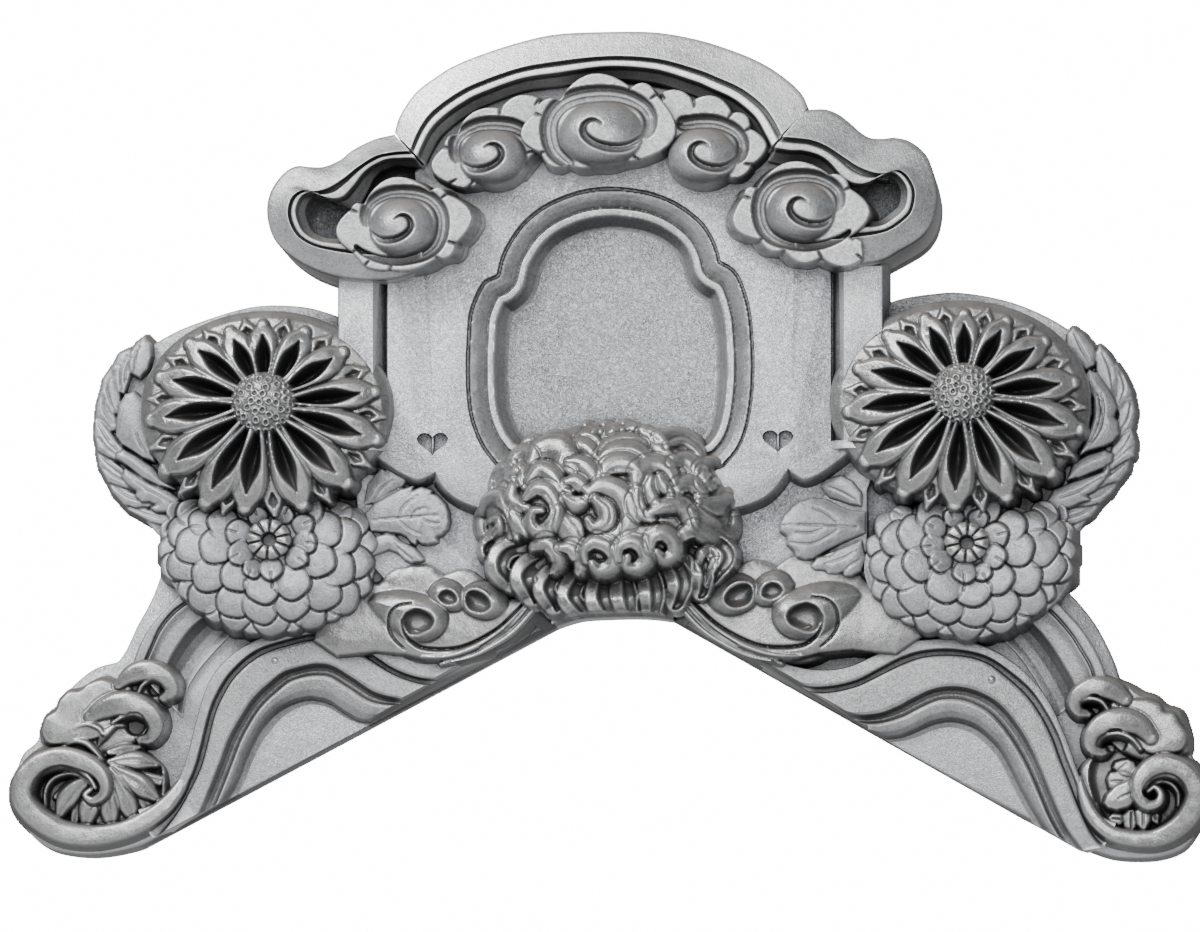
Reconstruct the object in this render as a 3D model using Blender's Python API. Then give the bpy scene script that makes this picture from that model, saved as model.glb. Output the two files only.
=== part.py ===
"""Roof end tile (onigawara): one carved and fired clay piece.

The tile closes the end of a roof ridge.  It stands astride the ridge on the two slopes of
the V cut in its foot, and its flat back lies against the ridge.  Everything on it is one
body of clay: the slab with its two legs, the moulded hood with an ear at each side, five
snail clouds, the sunk panel, and the flowers, leaves, waves and scrolls.

Frame: +X to the right as seen from the front, +Z up, the front faces -Y.  The back is the
plane y = 0 and the origin lies on it, just above the top of the V.
Lengths below are millimetres: a place is (x, z) and a depth is the distance in front of
the back plane.  MM turns them into metres where the meshes are made.
"""
import bpy
import bmesh
from math import cos, exp, hypot, pi, sin

MM = 0.001

# ---------------------------------------------------------------- driving dimensions
GROUND = 130.0          # front of the head, the plain ground of the tile
LOW_GROUND = 106.0      # ground below the scalloped edge, beside the middle flower
SHOULDER = 92.0         # front of the shoulder slabs behind the big daisies
DAISY_BASE = 116.0      # the drums of the big daisies stand in front of the pillars
ZINNIA_BASE = 104.0
LEG_GROUND = 62.0       # plain triangle inside the leg bands
ROOT = 40.0             # how far back the ornaments reach into the slab
RELIEF_ROOT = 70.0      # the same for ornaments on the head
HEAD_ROOT = 50.0        # and for the head itself
PANEL_DEPTH = 44.0      # sunk panel below the ground
HOOD_LIP = 160.0        # outer edge of the hood's fascia
PILLAR_FRONT = 145.0
PILLAR_STEP = 133.0     # foot of the pillars' bevel
PILLAR_ROOT = 76.0
PILLAR_SPAN = (330, 160)
PLATE_FRONT = 112.0     # plates under the waves, and the same under the foot's crests
FOOT_PLATE_FRONT = 92.0
PETAL_DEPTH = 80.0      # long petals round the heart of the left foot
CUTTER_BACK = -40.0     # cutters start behind the back plane and end past the ornaments
CUTTER_FRONT = 260.0
POCKET_DEPTH = 46.0     # hollows in the back
POCKET_TAPER = 6.0      # each hollow narrows by this much towards its floor
RIB_HALF = 17.0         # half the width of the rib between the two hollows
TIE_HOLE_RADIUS = 9.0   # hole through the rib for the tie wire
TIE_HOLE_HEIGHT = 390.0
TIE_HOLE_SIDES = 10
TIE_HOLE_PAST = 12.0    # how far its cutter runs past the rib

# The tile was carved by hand, so the left and right halves differ a little.
CROWN_LEFT = [(8, 567), (-45, 565), (-83, 557), (-121, 545), (-150, 533), (-169, 521),
              (-185, 509), (-196, 495), (-204, 481), (-208, 467)]
CROWN_RIGHT = [(8, 567), (55, 566), (98, 558), (137, 545), (163, 533), (181, 521),
               (194, 510), (202, 500), (206, 489)]
EAR_LEFT = [(-208, 465), (-229, 460), (-251, 449), (-262, 440), (-279, 433), (-294, 433),
            (-306, 434), (-319, 427), (-332, 409), (-336, 388), (-331, 365), (-319, 349),
            (-296, 333), (-267, 322)]
EAR_RIGHT = [(203, 487), (222, 488), (236, 483), (248, 474), (258, 465), (268, 459),
             (281, 458), (292, 459), (306, 456), (319, 447), (328, 434), (335, 405),
             (333, 382), (326, 366), (315, 355), (298, 345), (279, 335)]
SHOULDER_LEFT = [(-267, 284), (-284, 290), (-304, 295), (-335, 297), (-364, 294),
                 (-404, 282), (-438, 268), (-470, 246), (-492, 214), (-501, 178),
                 (-498, 146), (-487, 118), (-468, 96), (-450, 74)]
SHOULDER_RIGHT = [(281, 295), (300, 301), (328, 305), (356, 306), (400, 298), (438, 283),
                  (468, 264), (497, 236), (514, 206), (521, 174), (517, 142), (503, 112),
                  (484, 90), (466, 70)]
LEG_LEFT = [(-445, 62), (-443, 42), (-439, 18), (-448, 6), (-458, -6), (-467, -18),
            (-475, -30), (-483, -42), (-490, -56)]
LEG_RIGHT = [(463, 62), (461, 42), (459, 18), (469, 6), (479, -6), (488, -18),
             (496, -32), (503, -46), (509, -60), (514, -76)]
FOOT_LEFT = [(-492, -58), (-512, -68), (-535, -80), (-549, -93), (-561, -111),
             (-569, -128), (-571, -142), (-584, -153), (-593, -168), (-597, -186),
             (-594, -206), (-584, -228), (-566, -243), (-545, -249), (-520, -251),
             (-494, -248), (-468, -241), (-446, -229)]
FOOT_RIGHT = [(516, -80), (535, -91), (558, -102), (573, -115), (581, -128), (585, -148),
              (590, -163), (597, -178), (600, -196), (597, -216), (590, -233),
              (577, -248), (556, -256), (531, -258), (506, -256), (484, -249), (468, -242)]
NOTCH_TOP = [(-52, -21), (-28, -14), (5, -12), (38, -12), (64, -15)]
NOTCH_FAR_LEFT = (-530, -273.3)      # the slopes of the V, run on beyond the feet
NOTCH_FAR_RIGHT = (560, -297.4)
NOTCH_BELOW = -400
NOTCH_OVERCUT = 20
SLAB_LEVELS = [(0, 0), (20, 0), (LEG_GROUND, 5)]        # (depth, inset)
SHOULDER_LEVELS = [(ROOT, 2), (SHOULDER, 3)]
CURVE_SUBSTEPS = 16     # straight pieces laid between two points of a curve


# ---------------------------------------------------------------- curves in the plane
def smooth(points, steps):
    """A smooth curve through the points, cut into steps equal lengths."""
    dense = []
    last = len(points) - 1
    for i in range(last):
        p0, p1 = points[max(i - 1, 0)], points[i]
        p2, p3 = points[i + 1], points[min(i + 2, last)]
        for k in range(CURVE_SUBSTEPS):
            dense.append(tuple(hermite(p0[c], p1[c], p2[c], p3[c], k / CURVE_SUBSTEPS)
                               for c in range(len(p1))))
    dense.append(tuple(points[-1]))
    return even(dense, steps)


def hermite(a, b, c, d, t):
    """Catmull-Rom value between b and c."""
    return 0.5 * (2 * b + (c - a) * t + (2 * a - 5 * b + 4 * c - d) * t ** 2
                  + (3 * b - a - 3 * c + d) * t ** 3)


def even(points, steps):
    """The same polyline cut into steps pieces of equal length."""
    lengths = [0.0]
    for p, q in zip(points, points[1:]):
        lengths.append(lengths[-1] + hypot(q[0] - p[0], q[1] - p[1]))
    result = []
    at = 0
    for k in range(steps + 1):
        target = lengths[-1] * k / steps
        while at < len(points) - 2 and lengths[at + 1] < target:
            at += 1
        span = lengths[at + 1] - lengths[at]
        t = 0 if span == 0 else (target - lengths[at]) / span
        result.append(tuple(u + (v - u) * t for u, v in zip(points[at], points[at + 1])))
    return result


def normals(points, closed=False):
    """Unit normals to the left of a path in the plane."""
    count = len(points)
    result = []
    for i in range(count):
        before = points[i - 1] if i or closed else points[0]
        after = points[(i + 1) % count] if i < count - 1 or closed else points[-1]
        dx, dz = after[0] - before[0], after[1] - before[1]
        size = hypot(dx, dz) or 1.0
        result.append((-dz / size, dx / size))
    return result


def shifted(points, distance, closed=False):
    """The path moved to its left by a distance."""
    return [(p[0] + n[0] * distance, p[1] + n[1] * distance)
            for p, n in zip(points, normals(points, closed))]


def mirrored(points):
    return [(-x, z) for x, z in points]


# ---------------------------------------------------------------- closed skins
def place(x, z, depth):
    return (x * MM, -depth * MM, z * MM)


def skin(name, rings):
    """A closed body from rings of equally many (x, z, depth) points, capped at both ends."""
    mesh = bpy.data.meshes.new(name)
    work = bmesh.new()
    rows = [[work.verts.new(place(*p)) for p in ring] for ring in rings]
    count = len(rows[0])
    for lower, upper in zip(rows, rows[1:]):
        for i in range(count):
            j = (i + 1) % count
            work.faces.new((lower[i], lower[j], upper[j], upper[i]))
    work.faces.new(rows[0])
    work.faces.new(rows[-1])
    bmesh.ops.recalc_face_normals(work, faces=work.faces[:])
    bmesh.ops.triangulate(work, faces=[f for f in work.faces if len(f.verts) > 4])
    work.to_mesh(mesh)
    work.free()
    body = bpy.data.objects.new(name, mesh)
    bpy.context.scene.collection.objects.link(body)
    return body


def helper(body, collection):
    """Keeps a body as a hidden operand of the Booleans."""
    bpy.context.scene.collection.objects.unlink(body)
    collection.objects.link(body)
    body.hide_render = True
    body.display_type = 'WIRE'


def prism(name, outline, levels):
    """A stack of one outline; a level is (depth, inset)."""
    rings = []
    for depth, inset in levels:
        ring = shifted(outline, inset, closed=True) if inset else outline
        rings.append([(x, z, depth) for x, z in ring])
    return skin(name, rings)


def loft(name, guides, depths, root):
    """A moulded band between guide curves, each at its own depth, rooted in the slab."""
    rings = []
    for points in zip(*guides):
        ring = [(x, z, depth) for (x, z), depth in zip(points, depths)]
        rings.append([(*points[0], root)] + ring + [(*points[-1], root)])
    return skin(name, rings)


def relief(name, centre, rim, profile, spokes, root):
    """A round relief: rim(angle) is its radius, profile(angle) its (share, depth) rings."""
    angles = [2 * pi * k / spokes for k in range(spokes)]
    sections = [profile(a) for a in angles]
    rings = [[polar(centre, a, rim(a), root) for a in angles]]
    for step in range(len(sections[0])):
        rings.append([polar(centre, a, rim(a) * s[step][0], s[step][1])
                      for a, s in zip(angles, sections)])
    return skin(name, rings)


def polar(centre, angle, radius, depth):
    return (centre[0] + cos(angle) * radius, centre[1] + sin(angle) * radius, depth)


# ---------------------------------------------------------------- slab
def silhouette():
    """The outline of the back slab, from the crown down the left side and up the right."""
    left = (smooth(CROWN_LEFT, 6) + smooth(EAR_LEFT, 10) + smooth(SHOULDER_LEFT, 7)
            + smooth(LEG_LEFT, 4) + smooth(FOOT_LEFT, 10))
    right = (smooth(CROWN_RIGHT, 6)[1:] + smooth(EAR_RIGHT, 10) + smooth(SHOULDER_RIGHT, 7)
             + smooth(LEG_RIGHT, 5) + smooth(FOOT_RIGHT, 10))
    below = [(x, z - NOTCH_OVERCUT) for x, z in NOTCH_TOP]
    return left + below + list(reversed(right))


def head_outline():
    """The head inside the hood, down to the ground below the middle flower."""
    left = smooth([(8, 545), (-80, 533), (-150, 506), (-196, 452)], 7)
    left += [(-240, 430), (-300, 412), (-318, 385), (-300, 352), (-266, 328), (-264, 250),
             (-262, 150), (-250, 110)]
    right = smooth([(8, 545), (100, 530), (160, 500), (190, 466)], 7)[1:]
    right += [(235, 452), (300, 432), (318, 398), (305, 362), (280, 340), (279, 250),
              (276, 150), (262, 110)]
    foot = [(-246, 30), (-190, 10), (-120, -28), (-60, -30), (0, -26), (70, -26),
            (130, -30), (210, 8), (262, 30)]
    return left + foot + list(reversed(right))


def upper_ground():
    """The upper ground plate, whose lower edge runs in two scallops to the flower."""
    left = [(-262, 323), (-262, 160)] + smooth([(-220, 152), (-196, 121), (-180, 124),
                                                (-169, 128)], 4)
    left += smooth([(-169, 128), (-162, 113), (-143, 99), (-122, 92), (-90, 88)], 5)[1:]
    right = [(277, 330), (277, 160)] + smooth([(228, 152), (206, 121), (190, 124),
                                               (182, 128)], 4)
    right += smooth([(182, 128), (174, 113), (155, 99), (134, 92), (100, 88)], 5)[1:]
    top_left = smooth([(8, 520), (-90, 508), (-150, 480), (-190, 430), (-262, 400)], 6)
    top_right = smooth([(8, 520), (100, 505), (160, 475), (195, 440), (277, 415)], 6)[1:]
    return top_left + left + list(reversed(top_right + right))


# ---------------------------------------------------------------- hood
HOOD_INNER_LEFT = [(8, 541), (-44, 536), (-84, 529), (-124, 515), (-144, 505), (-164, 491),
                   (-176, 479), (-185, 464), (-191, 449)]
HOOD_INNER_RIGHT = [(8, 541), (56, 538), (96, 527), (116, 519), (136, 510), (151, 500),
                    (164, 488), (174, 473), (180, 461)]
EAR_INNER_LEFT = [(-192, 447), (-208, 446), (-226, 442), (-244, 431), (-259, 419),
                  (-274, 410), (-288, 407), (-300, 408), (-310, 401), (-314, 387),
                  (-311, 373), (-303, 361), (-288, 352), (-268, 348), (-247, 346)]
EAR_INNER_RIGHT = [(181, 459), (201, 457), (212, 455), (226, 449), (241, 439), (256, 429),
                   (271, 423), (283, 422), (296, 425), (305, 420), (312, 408), (313, 396),
                   (309, 382), (299, 372), (286, 364), (270, 361), (252, 361)]
HOOD_SECTION = [(0.0, 0), (1.0, 18), (1.14, 4), (1.32, 16), (1.55, -8)]
EAR_SECTION = [(0.0, 0), (1.0, 18), (1.1, 4), (1.24, 14)]


def hood(name, outer, inner, steps, side, section):
    """One length of the hood: fascia, groove, bead and cove between its two edges.

    A section point is (share of the way from the outer to the inner edge, depth in front
    of the lip)."""
    outer_path, inner_path = smooth(outer, steps), smooth(inner, steps)
    guides, depths = [], []
    for share, proud in section:
        guides.append([(a[0] + (b[0] - a[0]) * share, a[1] + (b[1] - a[1]) * share)
                       for a, b in zip(outer_path, inner_path)])
        depths.append(HOOD_LIP + proud)
    return loft(name, guides, depths, ROOT + side)


# ---------------------------------------------------------------- sunk panel and hearts
PANEL_ARCH = [(-108, 328), (-103, 347), (-94, 364), (-82, 380), (-64, 395), (-44, 405),
              (-22, 412), (6, 415), (36, 412), (58, 406), (78, 396), (97, 381), (108, 366),
              (114, 352), (117, 341)]
PANEL_LEFT = [(-109, 327), (-121, 321), (-129, 308), (-136, 288), (-138, 262), (-139, 235),
              (-138, 205), (-134, 180), (-124, 155), (-110, 136)]
PANEL_RIGHT = [(117, 340), (130, 332), (139, 318), (147, 290), (150, 260), (151, 230),
               (149, 200), (144, 172), (135, 150), (120, 132)]
PANEL_STEPS = [(0, 30), (0, -9), (19, -16), (28, -14), (37, -PANEL_DEPTH)]


def panel_outline():
    """Anticlockwise, with a cusp at each side below the arch."""
    arch = smooth(PANEL_ARCH, 11)
    left = smooth(PANEL_LEFT, 6)
    right = smooth(PANEL_RIGHT, 6)
    bottom = smooth([(-110, 136), (-60, 112), (0, 104), (60, 110), (120, 132)], 4)[1:-1]
    return list(reversed(right)) + list(reversed(arch))[1:] + left + bottom


def panel_cutter():
    outline = panel_outline()
    rings = []
    for inset, proud in PANEL_STEPS:
        ring = shifted(outline, inset, closed=True)
        rings.append([(x, z, GROUND + proud) for x, z in ring])
    return skin("panel_cutter", rings)


HEART_LEVELS = ((1.0, 12), (1.0, -4), (0.45, -9))     # (share of the size, depth)
HEART_SIDES = 10
HEART_SQUASH = 0.82


def heart_cutter(name, centre):
    """A boar's eye heart, notch above and point below, by the usual heart curve."""
    rings = []
    for size, depth in HEART_LEVELS:
        ring = []
        for k in range(HEART_SIDES):
            t = 2 * pi * k / HEART_SIDES
            x = 16 * sin(t) ** 3
            z = 13 * cos(t) - 5 * cos(2 * t) - 2 * cos(3 * t) - cos(4 * t) + 2
            z *= HEART_SQUASH
            ring.append((centre[0] + x * size, centre[1] + z * size, GROUND + depth))
        rings.append(ring)
    return skin(name, rings)


# ---------------------------------------------------------------- snail clouds
CLOUD_SPOKES = 18
CLOUD_LOBE_CUT = 0.06           # how deep the notches between lobes go, a share of the radius
CLOUD_EDGE = ((1.0, -9), (0.92, 0))                     # (share of the plate, depth)
MOAT_SHARE = 1.42               # outer edge of the moat, in radii of the snail
MOAT_LIMIT = 0.84               # and its limit, a share of the plate
MOAT_DEPTH = 13.0
SNAIL_SHARES = (1.0, 0.9, 0.65, 0.4, 0.16)
SNAIL_RISE = 19.0
SNAIL_FALL = 0.55               # how much lower the dome is at its rim, a share of the rise
SNAIL_FOOT = 16.0               # step down at the rim
GROOVE_START, GROOVE_REACH = 0.2, 0.68      # the groove's radius and what a turn adds
GROOVE_WIDTH, GROOVE_DEPTH = 0.1, 9.0


def cloud(name, centre, boss, plate, depth, turn, lobes):
    """A lobed plate carrying a snail: a dome with a spiral groove winding in to its tip.

    boss and plate are half sizes (x, z); turn is +1 where the spiral runs anticlockwise
    outwards and -1 where it runs clockwise."""
    def rim(angle):
        wave = 1 - CLOUD_LOBE_CUT * (1 - abs(cos(lobes * angle / 2)))
        return wave * ellipse(plate, angle)

    def profile(angle):
        boss_share = ellipse(boss, angle) / rim(angle)
        moat = min(boss_share * MOAT_SHARE, MOAT_LIMIT)
        rings = [(share, depth + rise) for share, rise in CLOUD_EDGE]
        rings += [(moat, depth - 1), ((boss_share + moat) / 2, depth - MOAT_DEPTH)]
        for share in SNAIL_SHARES:
            rings.append((boss_share * share, depth + snail(share, angle, turn)))
        return rings

    return relief(name, centre, rim, profile, CLOUD_SPOKES, RELIEF_ROOT)


def ellipse(half, angle):
    """Radius of an ellipse with half sizes (x, z) in a direction."""
    return 1 / hypot(cos(angle) / half[0], sin(angle) / half[1])


def snail(share, angle, turn):
    """Height of the snail above its plate, at a share of its radius."""
    dome = SNAIL_RISE * (1 - SNAIL_FALL * share ** 2)
    if share == SNAIL_SHARES[0]:
        dome -= SNAIL_FOOT
    wound = (turn * angle / (2 * pi)) % 1.0
    groove = GROOVE_START + GROOVE_REACH * wound
    return dome - GROOVE_DEPTH * exp(-((share - groove) / GROOVE_WIDTH) ** 2)


CLOUDS = [
    # name, centre, snail, plate, depth, turn, lobes
    ("cloud_left", (-196, 375), (37, 31), (73, 54), 186, -1, 9),
    ("cloud_small_left", (-122, 440), (33, 30), (56, 47), 180, -1, 8),
    ("cloud_middle", (-4, 467), (41, 35), (88, 49), 192, 1, 10),
    ("cloud_small_right", (101, 442), (33, 31), (62, 47), 180, 1, 8),
    ("cloud_right", (198, 383), (37, 33), (74, 56), 186, 1, 9),
]


# ---------------------------------------------------------------- flowers
DAISY_PETALS = 14
DAISY_SECTION = ((1.0, 24), (0.94, 32), (0.8, 45), (0.7, 50), (0.24, 57))
DAISY_TIP_DROP = 6.0            # between the petal tips
DAISY_SLOT_DEPTH = 22.0         # hollow of a petal, on the inner rings
BUTTON_RISE = 36.0              # a daisy's button above the daisy's base


def daisy(name, centre, half, base):
    """A big daisy: fourteen hollow petals round a button, on a drum."""
    def rim(angle):
        return ellipse(half, angle)

    def profile(angle):
        slot = int(round(angle * DAISY_PETALS / pi)) % 2 == 0
        outer, *tips, first, last = DAISY_SECTION
        sunk = DAISY_SLOT_DEPTH if slot else 0
        drop = 0 if slot else DAISY_TIP_DROP
        rings = [outer] + [(share, rise - drop) for share, rise in tips]
        rings += [(share, rise - sunk) for share, rise in (first, last)]
        return [(share, base + rise) for share, rise in rings]

    return relief(name, centre, rim, profile, DAISY_PETALS * 2, ROOT)


BUTTON_SECTION = ((1.0, 0.35), (0.8, 0.74), (0.45, 0.96), (0.1, 1.0))
BUTTON_ROOT = 12.0              # how far a button reaches into its flower


def button(name, centre, half, base, height, spokes):
    """A round button on a flower."""
    def rim(angle):
        return ellipse(half, angle)

    def profile(_):
        return [(share, base + height * rise) for share, rise in BUTTON_SECTION]

    return relief(name, centre, rim, profile, spokes, base - BUTTON_ROOT)


ZINNIA_PETALS = 12
ZINNIA_RINGS = ((1.0, -4), (0.74, 10), (0.46, 20))
ZINNIA_SCALLOP = 0.04
ZINNIA_TREAD = 0.05             # each row of petals steps in by this share
ZINNIA_STEP = 8.0               # and up by this much


def zinnia(name, centre, half, base):
    """Rings of round overlapping petals on a low dome."""
    def rim(angle):
        return ellipse(half, angle) * (0.97 + 0.03 * cos(ZINNIA_PETALS * angle))

    def profile(angle):
        rings = []
        for row, (share, rise) in enumerate(ZINNIA_RINGS):
            scallop = 1 + ZINNIA_SCALLOP * cos(ZINNIA_PETALS * angle + row * pi)
            rings.append((share * scallop, base + rise))
            rings.append((share * scallop - ZINNIA_TREAD, base + rise + ZINNIA_STEP))
        return rings

    return relief(name, centre, rim, profile, ZINNIA_PETALS * 2, ROOT)


MIDDLE_FLOWER = (4, 86)
MIDDLE_HALF = (127, 98)
MIDDLE_BASE = 128.0
MIDDLE_RISE = 74.0
MIDDLE_EDGE = 4.0
MIDDLE_SHARES = (0.96, 0.84, 0.68, 0.5, 0.32, 0.14)
MIDDLE_PETALS = 15              # channelled petals of the rim
MIDDLE_CURLS = 8                # curls round the dome, each row turned by a part of one
CURL_TURN = 2.4
CURL_RISE = 5.0


def middle_flower():
    """A many petalled chrysanthemum: curling petals on a dome, channelled ones below."""
    def rim(angle):
        fringe = 0.025 * cos(MIDDLE_PETALS * angle) if sin(angle) < 0.35 else 0
        return ellipse(MIDDLE_HALF, angle) * (0.97 + fringe)

    def profile(angle):
        rings = [(1.0, MIDDLE_BASE + MIDDLE_EDGE)]
        for row, share in enumerate(MIDDLE_SHARES):
            dome = MIDDLE_BASE + MIDDLE_RISE * (1 - share ** 2.4) ** 0.6
            wave = cos(MIDDLE_PETALS * angle)
            if row > 1:
                wave = cos(MIDDLE_CURLS * angle + CURL_TURN * row)
            rings.append((share, dome + CURL_RISE * wave * min(1, share * 2)))
        return rings

    return relief("middle_flower", MIDDLE_FLOWER, rim, profile, MIDDLE_PETALS * 2, ROOT)


# ---------------------------------------------------------------- leaves
LEAF_TIP = 0.12                 # width at both ends, a share of the full width


def leaf(name, spine, width, depth, rise, steps=4):
    """A pointed leaf along a spine, its vein line raised above its edges."""
    path = smooth(spine, steps)
    guides = [[], [], []]
    for k, (p, n) in enumerate(zip(path, normals(path))):
        share = k / steps
        swell = sin(pi * share ** 0.8) ** 0.8 if 0 < share < 1 else 0
        half = width / 2 * max(swell, LEAF_TIP)
        for guide, side in zip(guides, (1, 0, -1)):
            guide.append((p[0] + n[0] * half * side, p[1] + n[1] * half * side))
    return loft(name, guides, [depth, depth + rise, depth], ROOT)


# ---------------------------------------------------------------- curls
CURL_STEPS = 7
CURL_EYE = 0.35                 # the radius a curl winds in to, a share of its own
CURL_TAPER = 0.5                # and its width there
CURL_CROWN = 0.7                # height of its ridge, a share of its half width


def spiral(centre, outer, inner, start, turns, steps):
    """Points winding inwards round a centre; turns is positive anticlockwise."""
    points = []
    for k in range(steps + 1):
        share = k / steps
        angle = start + 2 * pi * turns * share
        radius = outer + (inner - outer) * share
        points.append((centre[0] + radius * cos(angle), centre[1] + radius * sin(angle)))
    return points


def curl(name, centre, outer, start, turns, depth, thickness):
    """A crest of a wave, rolled up round its eye."""
    guides = [spiral(centre, outer + thickness * side,
                     outer * CURL_EYE + thickness * CURL_TAPER * side, start, turns, CURL_STEPS)
              for side in (1, 0, -1)]
    return loft(name, guides, [depth, depth + thickness * CURL_CROWN, depth], ROOT)


# ---------------------------------------------------------------- legs
LEG_BANDS_LEFT = [
    ([(-470, -206), (-446, -196), (-428, -172), (-419, -145), (-413, -120), (-406, -95),
      (-396, -72), (-378, -52), (-352, -36), (-314, -24), (-274, -20), (-234, -30),
      (-204, -46), (-164, -58), (-124, -52), (-84, -34)], 90),
    ([(-464, -224), (-439, -208), (-426, -190), (-414, -165), (-407, -140), (-401, -115),
      (-394, -95), (-379, -70), (-354, -48), (-324, -37), (-289, -30), (-259, -36),
      (-234, -52), (-214, -65), (-194, -73), (-174, -76), (-150, -73), (-110, -55)], 90),
    ([(-452, -240), (-432, -212), (-419, -190), (-407, -165), (-400, -140), (-394, -115),
      (-387, -97), (-373, -74), (-350, -54), (-322, -43), (-289, -37), (-261, -43),
      (-237, -58), (-216, -71), (-196, -79), (-174, -83), (-146, -80), (-110, -66)], 84),
    ([(-436, -250), (-411, -212), (-399, -185), (-388, -157), (-379, -133), (-366, -110),
      (-354, -93), (-339, -79), (-324, -68), (-304, -62), (-289, -60), (-274, -63),
      (-254, -75), (-234, -88), (-214, -94), (-196, -95), (-160, -86)], 84),
    ([(-424, -252), (-398, -212), (-386, -185), (-376, -159), (-367, -136), (-356, -116),
      (-345, -101), (-331, -88), (-318, -78), (-302, -73), (-289, -72), (-277, -74),
      (-259, -85), (-238, -98), (-216, -102), (-196, -101), (-166, -94)], 75),
    ([(-414, -244), (-389, -202), (-375, -178), (-365, -152), (-357, -135), (-348, -120),
      (-334, -106), (-319, -98), (-304, -94), (-294, -94), (-279, -98), (-264, -108),
      (-249, -116), (-234, -116), (-214, -109), (-184, -96)], 73),
    ([(-408, -250), (-382, -206), (-368, -182), (-358, -158), (-349, -139), (-340, -127),
      (-328, -113), (-314, -104), (-302, -100), (-294, -100), (-281, -103), (-266, -112),
      (-250, -119), (-234, -120), (-214, -114), (-186, -102)], LEG_GROUND + 1),
]
LEG_BANDS_RIGHT = [
    ([(510, -222), (491, -213), (481, -195), (473, -175), (463, -145), (453, -120),
      (441, -97), (426, -78), (406, -60), (381, -46), (352, -38), (322, -38), (296, -42),
      (268, -54), (240, -66), (210, -68), (176, -60), (120, -34)], 90),
    ([(504, -239), (491, -226), (478, -200), (468, -175), (460, -155), (453, -135),
      (441, -112), (426, -90), (406, -72), (386, -58), (366, -51), (341, -48), (316, -50),
      (296, -56), (276, -66), (250, -79), (221, -85), (196, -83), (160, -66)], 90),
    ([(495, -247), (483, -232), (470, -204), (460, -178), (452, -158), (445, -138),
      (434, -116), (420, -96), (401, -78), (383, -64), (364, -57), (341, -55), (318, -57),
      (299, -63), (278, -73), (250, -86), (220, -92), (194, -89), (160, -76)], 84),
    ([(477, -250), (460, -226), (446, -195), (438, -175), (428, -152), (416, -130),
      (401, -110), (386, -97), (366, -88), (346, -85), (326, -88), (306, -97),
      (291, -105), (271, -112), (246, -112), (214, -98)], 84),
    ([(470, -262), (446, -224), (434, -197), (426, -178), (416, -157), (404, -137),
      (391, -120), (379, -109), (363, -101), (346, -98), (330, -100), (312, -108),
      (296, -116), (272, -122), (246, -120), (214, -108)], 75),
    ([(458, -256), (436, -222), (418, -190), (408, -170), (396, -148), (381, -132),
      (366, -122), (346, -117), (326, -120), (306, -129), (291, -134), (274, -134),
      (256, -126), (236, -112)], 73),
    ([(452, -260), (429, -226), (411, -194), (401, -174), (390, -154), (376, -139),
      (363, -130), (346, -125), (329, -127), (309, -135), (292, -139), (272, -139),
      (254, -132), (234, -118)], LEG_GROUND + 1),
]
LEG_STRIPS_LEFT = [
    ([(-410, 26), (-424, 14), (-439, -2), (-454, -18), (-464, -32), (-472, -50),
      (-478, -68)], 97),
    ([(-404, 20), (-419, 6), (-436, -7), (-449, -23), (-457, -40), (-464, -57),
      (-469, -72)], 97),
    ([(-398, 14), (-413, 0), (-430, -14), (-443, -29), (-451, -44), (-458, -60),
      (-463, -75)], 89),
    ([(-388, 4), (-402, -10), (-419, -25), (-434, -46), (-442, -62), (-447, -78),
      (-450, -90)], 89),
    ([(-374, -6), (-388, -22), (-404, -38), (-420, -58), (-430, -76), (-434, -92),
      (-436, -104)], 68),
]
LEG_STRIPS_RIGHT = [
    ([(432, 18), (448, 2), (462, -12), (476, -28), (487, -44), (496, -62), (502, -80)], 97),
    ([(426, 10), (441, -4), (455, -18), (468, -34), (478, -50), (487, -66), (492, -84)], 97),
    ([(420, 4), (434, -9), (448, -23), (461, -38), (471, -54), (480, -70), (486, -88)], 89),
    ([(408, -6), (422, -18), (436, -32), (448, -48), (458, -64), (467, -80), (473, -96)], 89),
    ([(392, -16), (406, -30), (420, -44), (432, -60), (442, -76), (451, -92),
      (458, -108)], 68),
]


def bands(name, guides, steps, root):
    """Mouldings that follow one another down a leg."""
    return loft(name, [smooth(points, steps) for points, _ in guides],
                [depth for _, depth in guides], root)


# ---------------------------------------------------------------- hollows of the back
BACK_HOLLOW = (RIB_HALF, 214, 34, 470, 40)      # x from, x to, z from, z to, corner radius
SIDE_HOLLOW = (244, 450, 70, 262, 50)


def hollow_cutter(name, outline):
    return prism(name, outline, [(CUTTER_BACK, 0), (POCKET_DEPTH, POCKET_TAPER)])


def pocket(x_from, x_to, z_from, z_to, radius, side):
    """A rounded rectangle, anticlockwise, mirrored for the other side."""
    points = []
    corners = ((x_to - radius, z_from + radius, -pi / 2), (x_to - radius, z_to - radius, 0),
               (x_from + radius, z_to - radius, pi / 2), (x_from + radius, z_from + radius, pi))
    for x, z, start in corners:
        for k in range(3):
            angle = start + pi / 4 * k
            points.append((x + radius * cos(angle), z + radius * sin(angle)))
    return points if side > 0 else list(reversed(mirrored(points)))


# ---------------------------------------------------------------- assembly
def shoulder(name, outline, inner):
    """The slab behind one of the big daisies."""
    return prism(name, smooth(outline, 12) + inner, SHOULDER_LEVELS)


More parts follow.
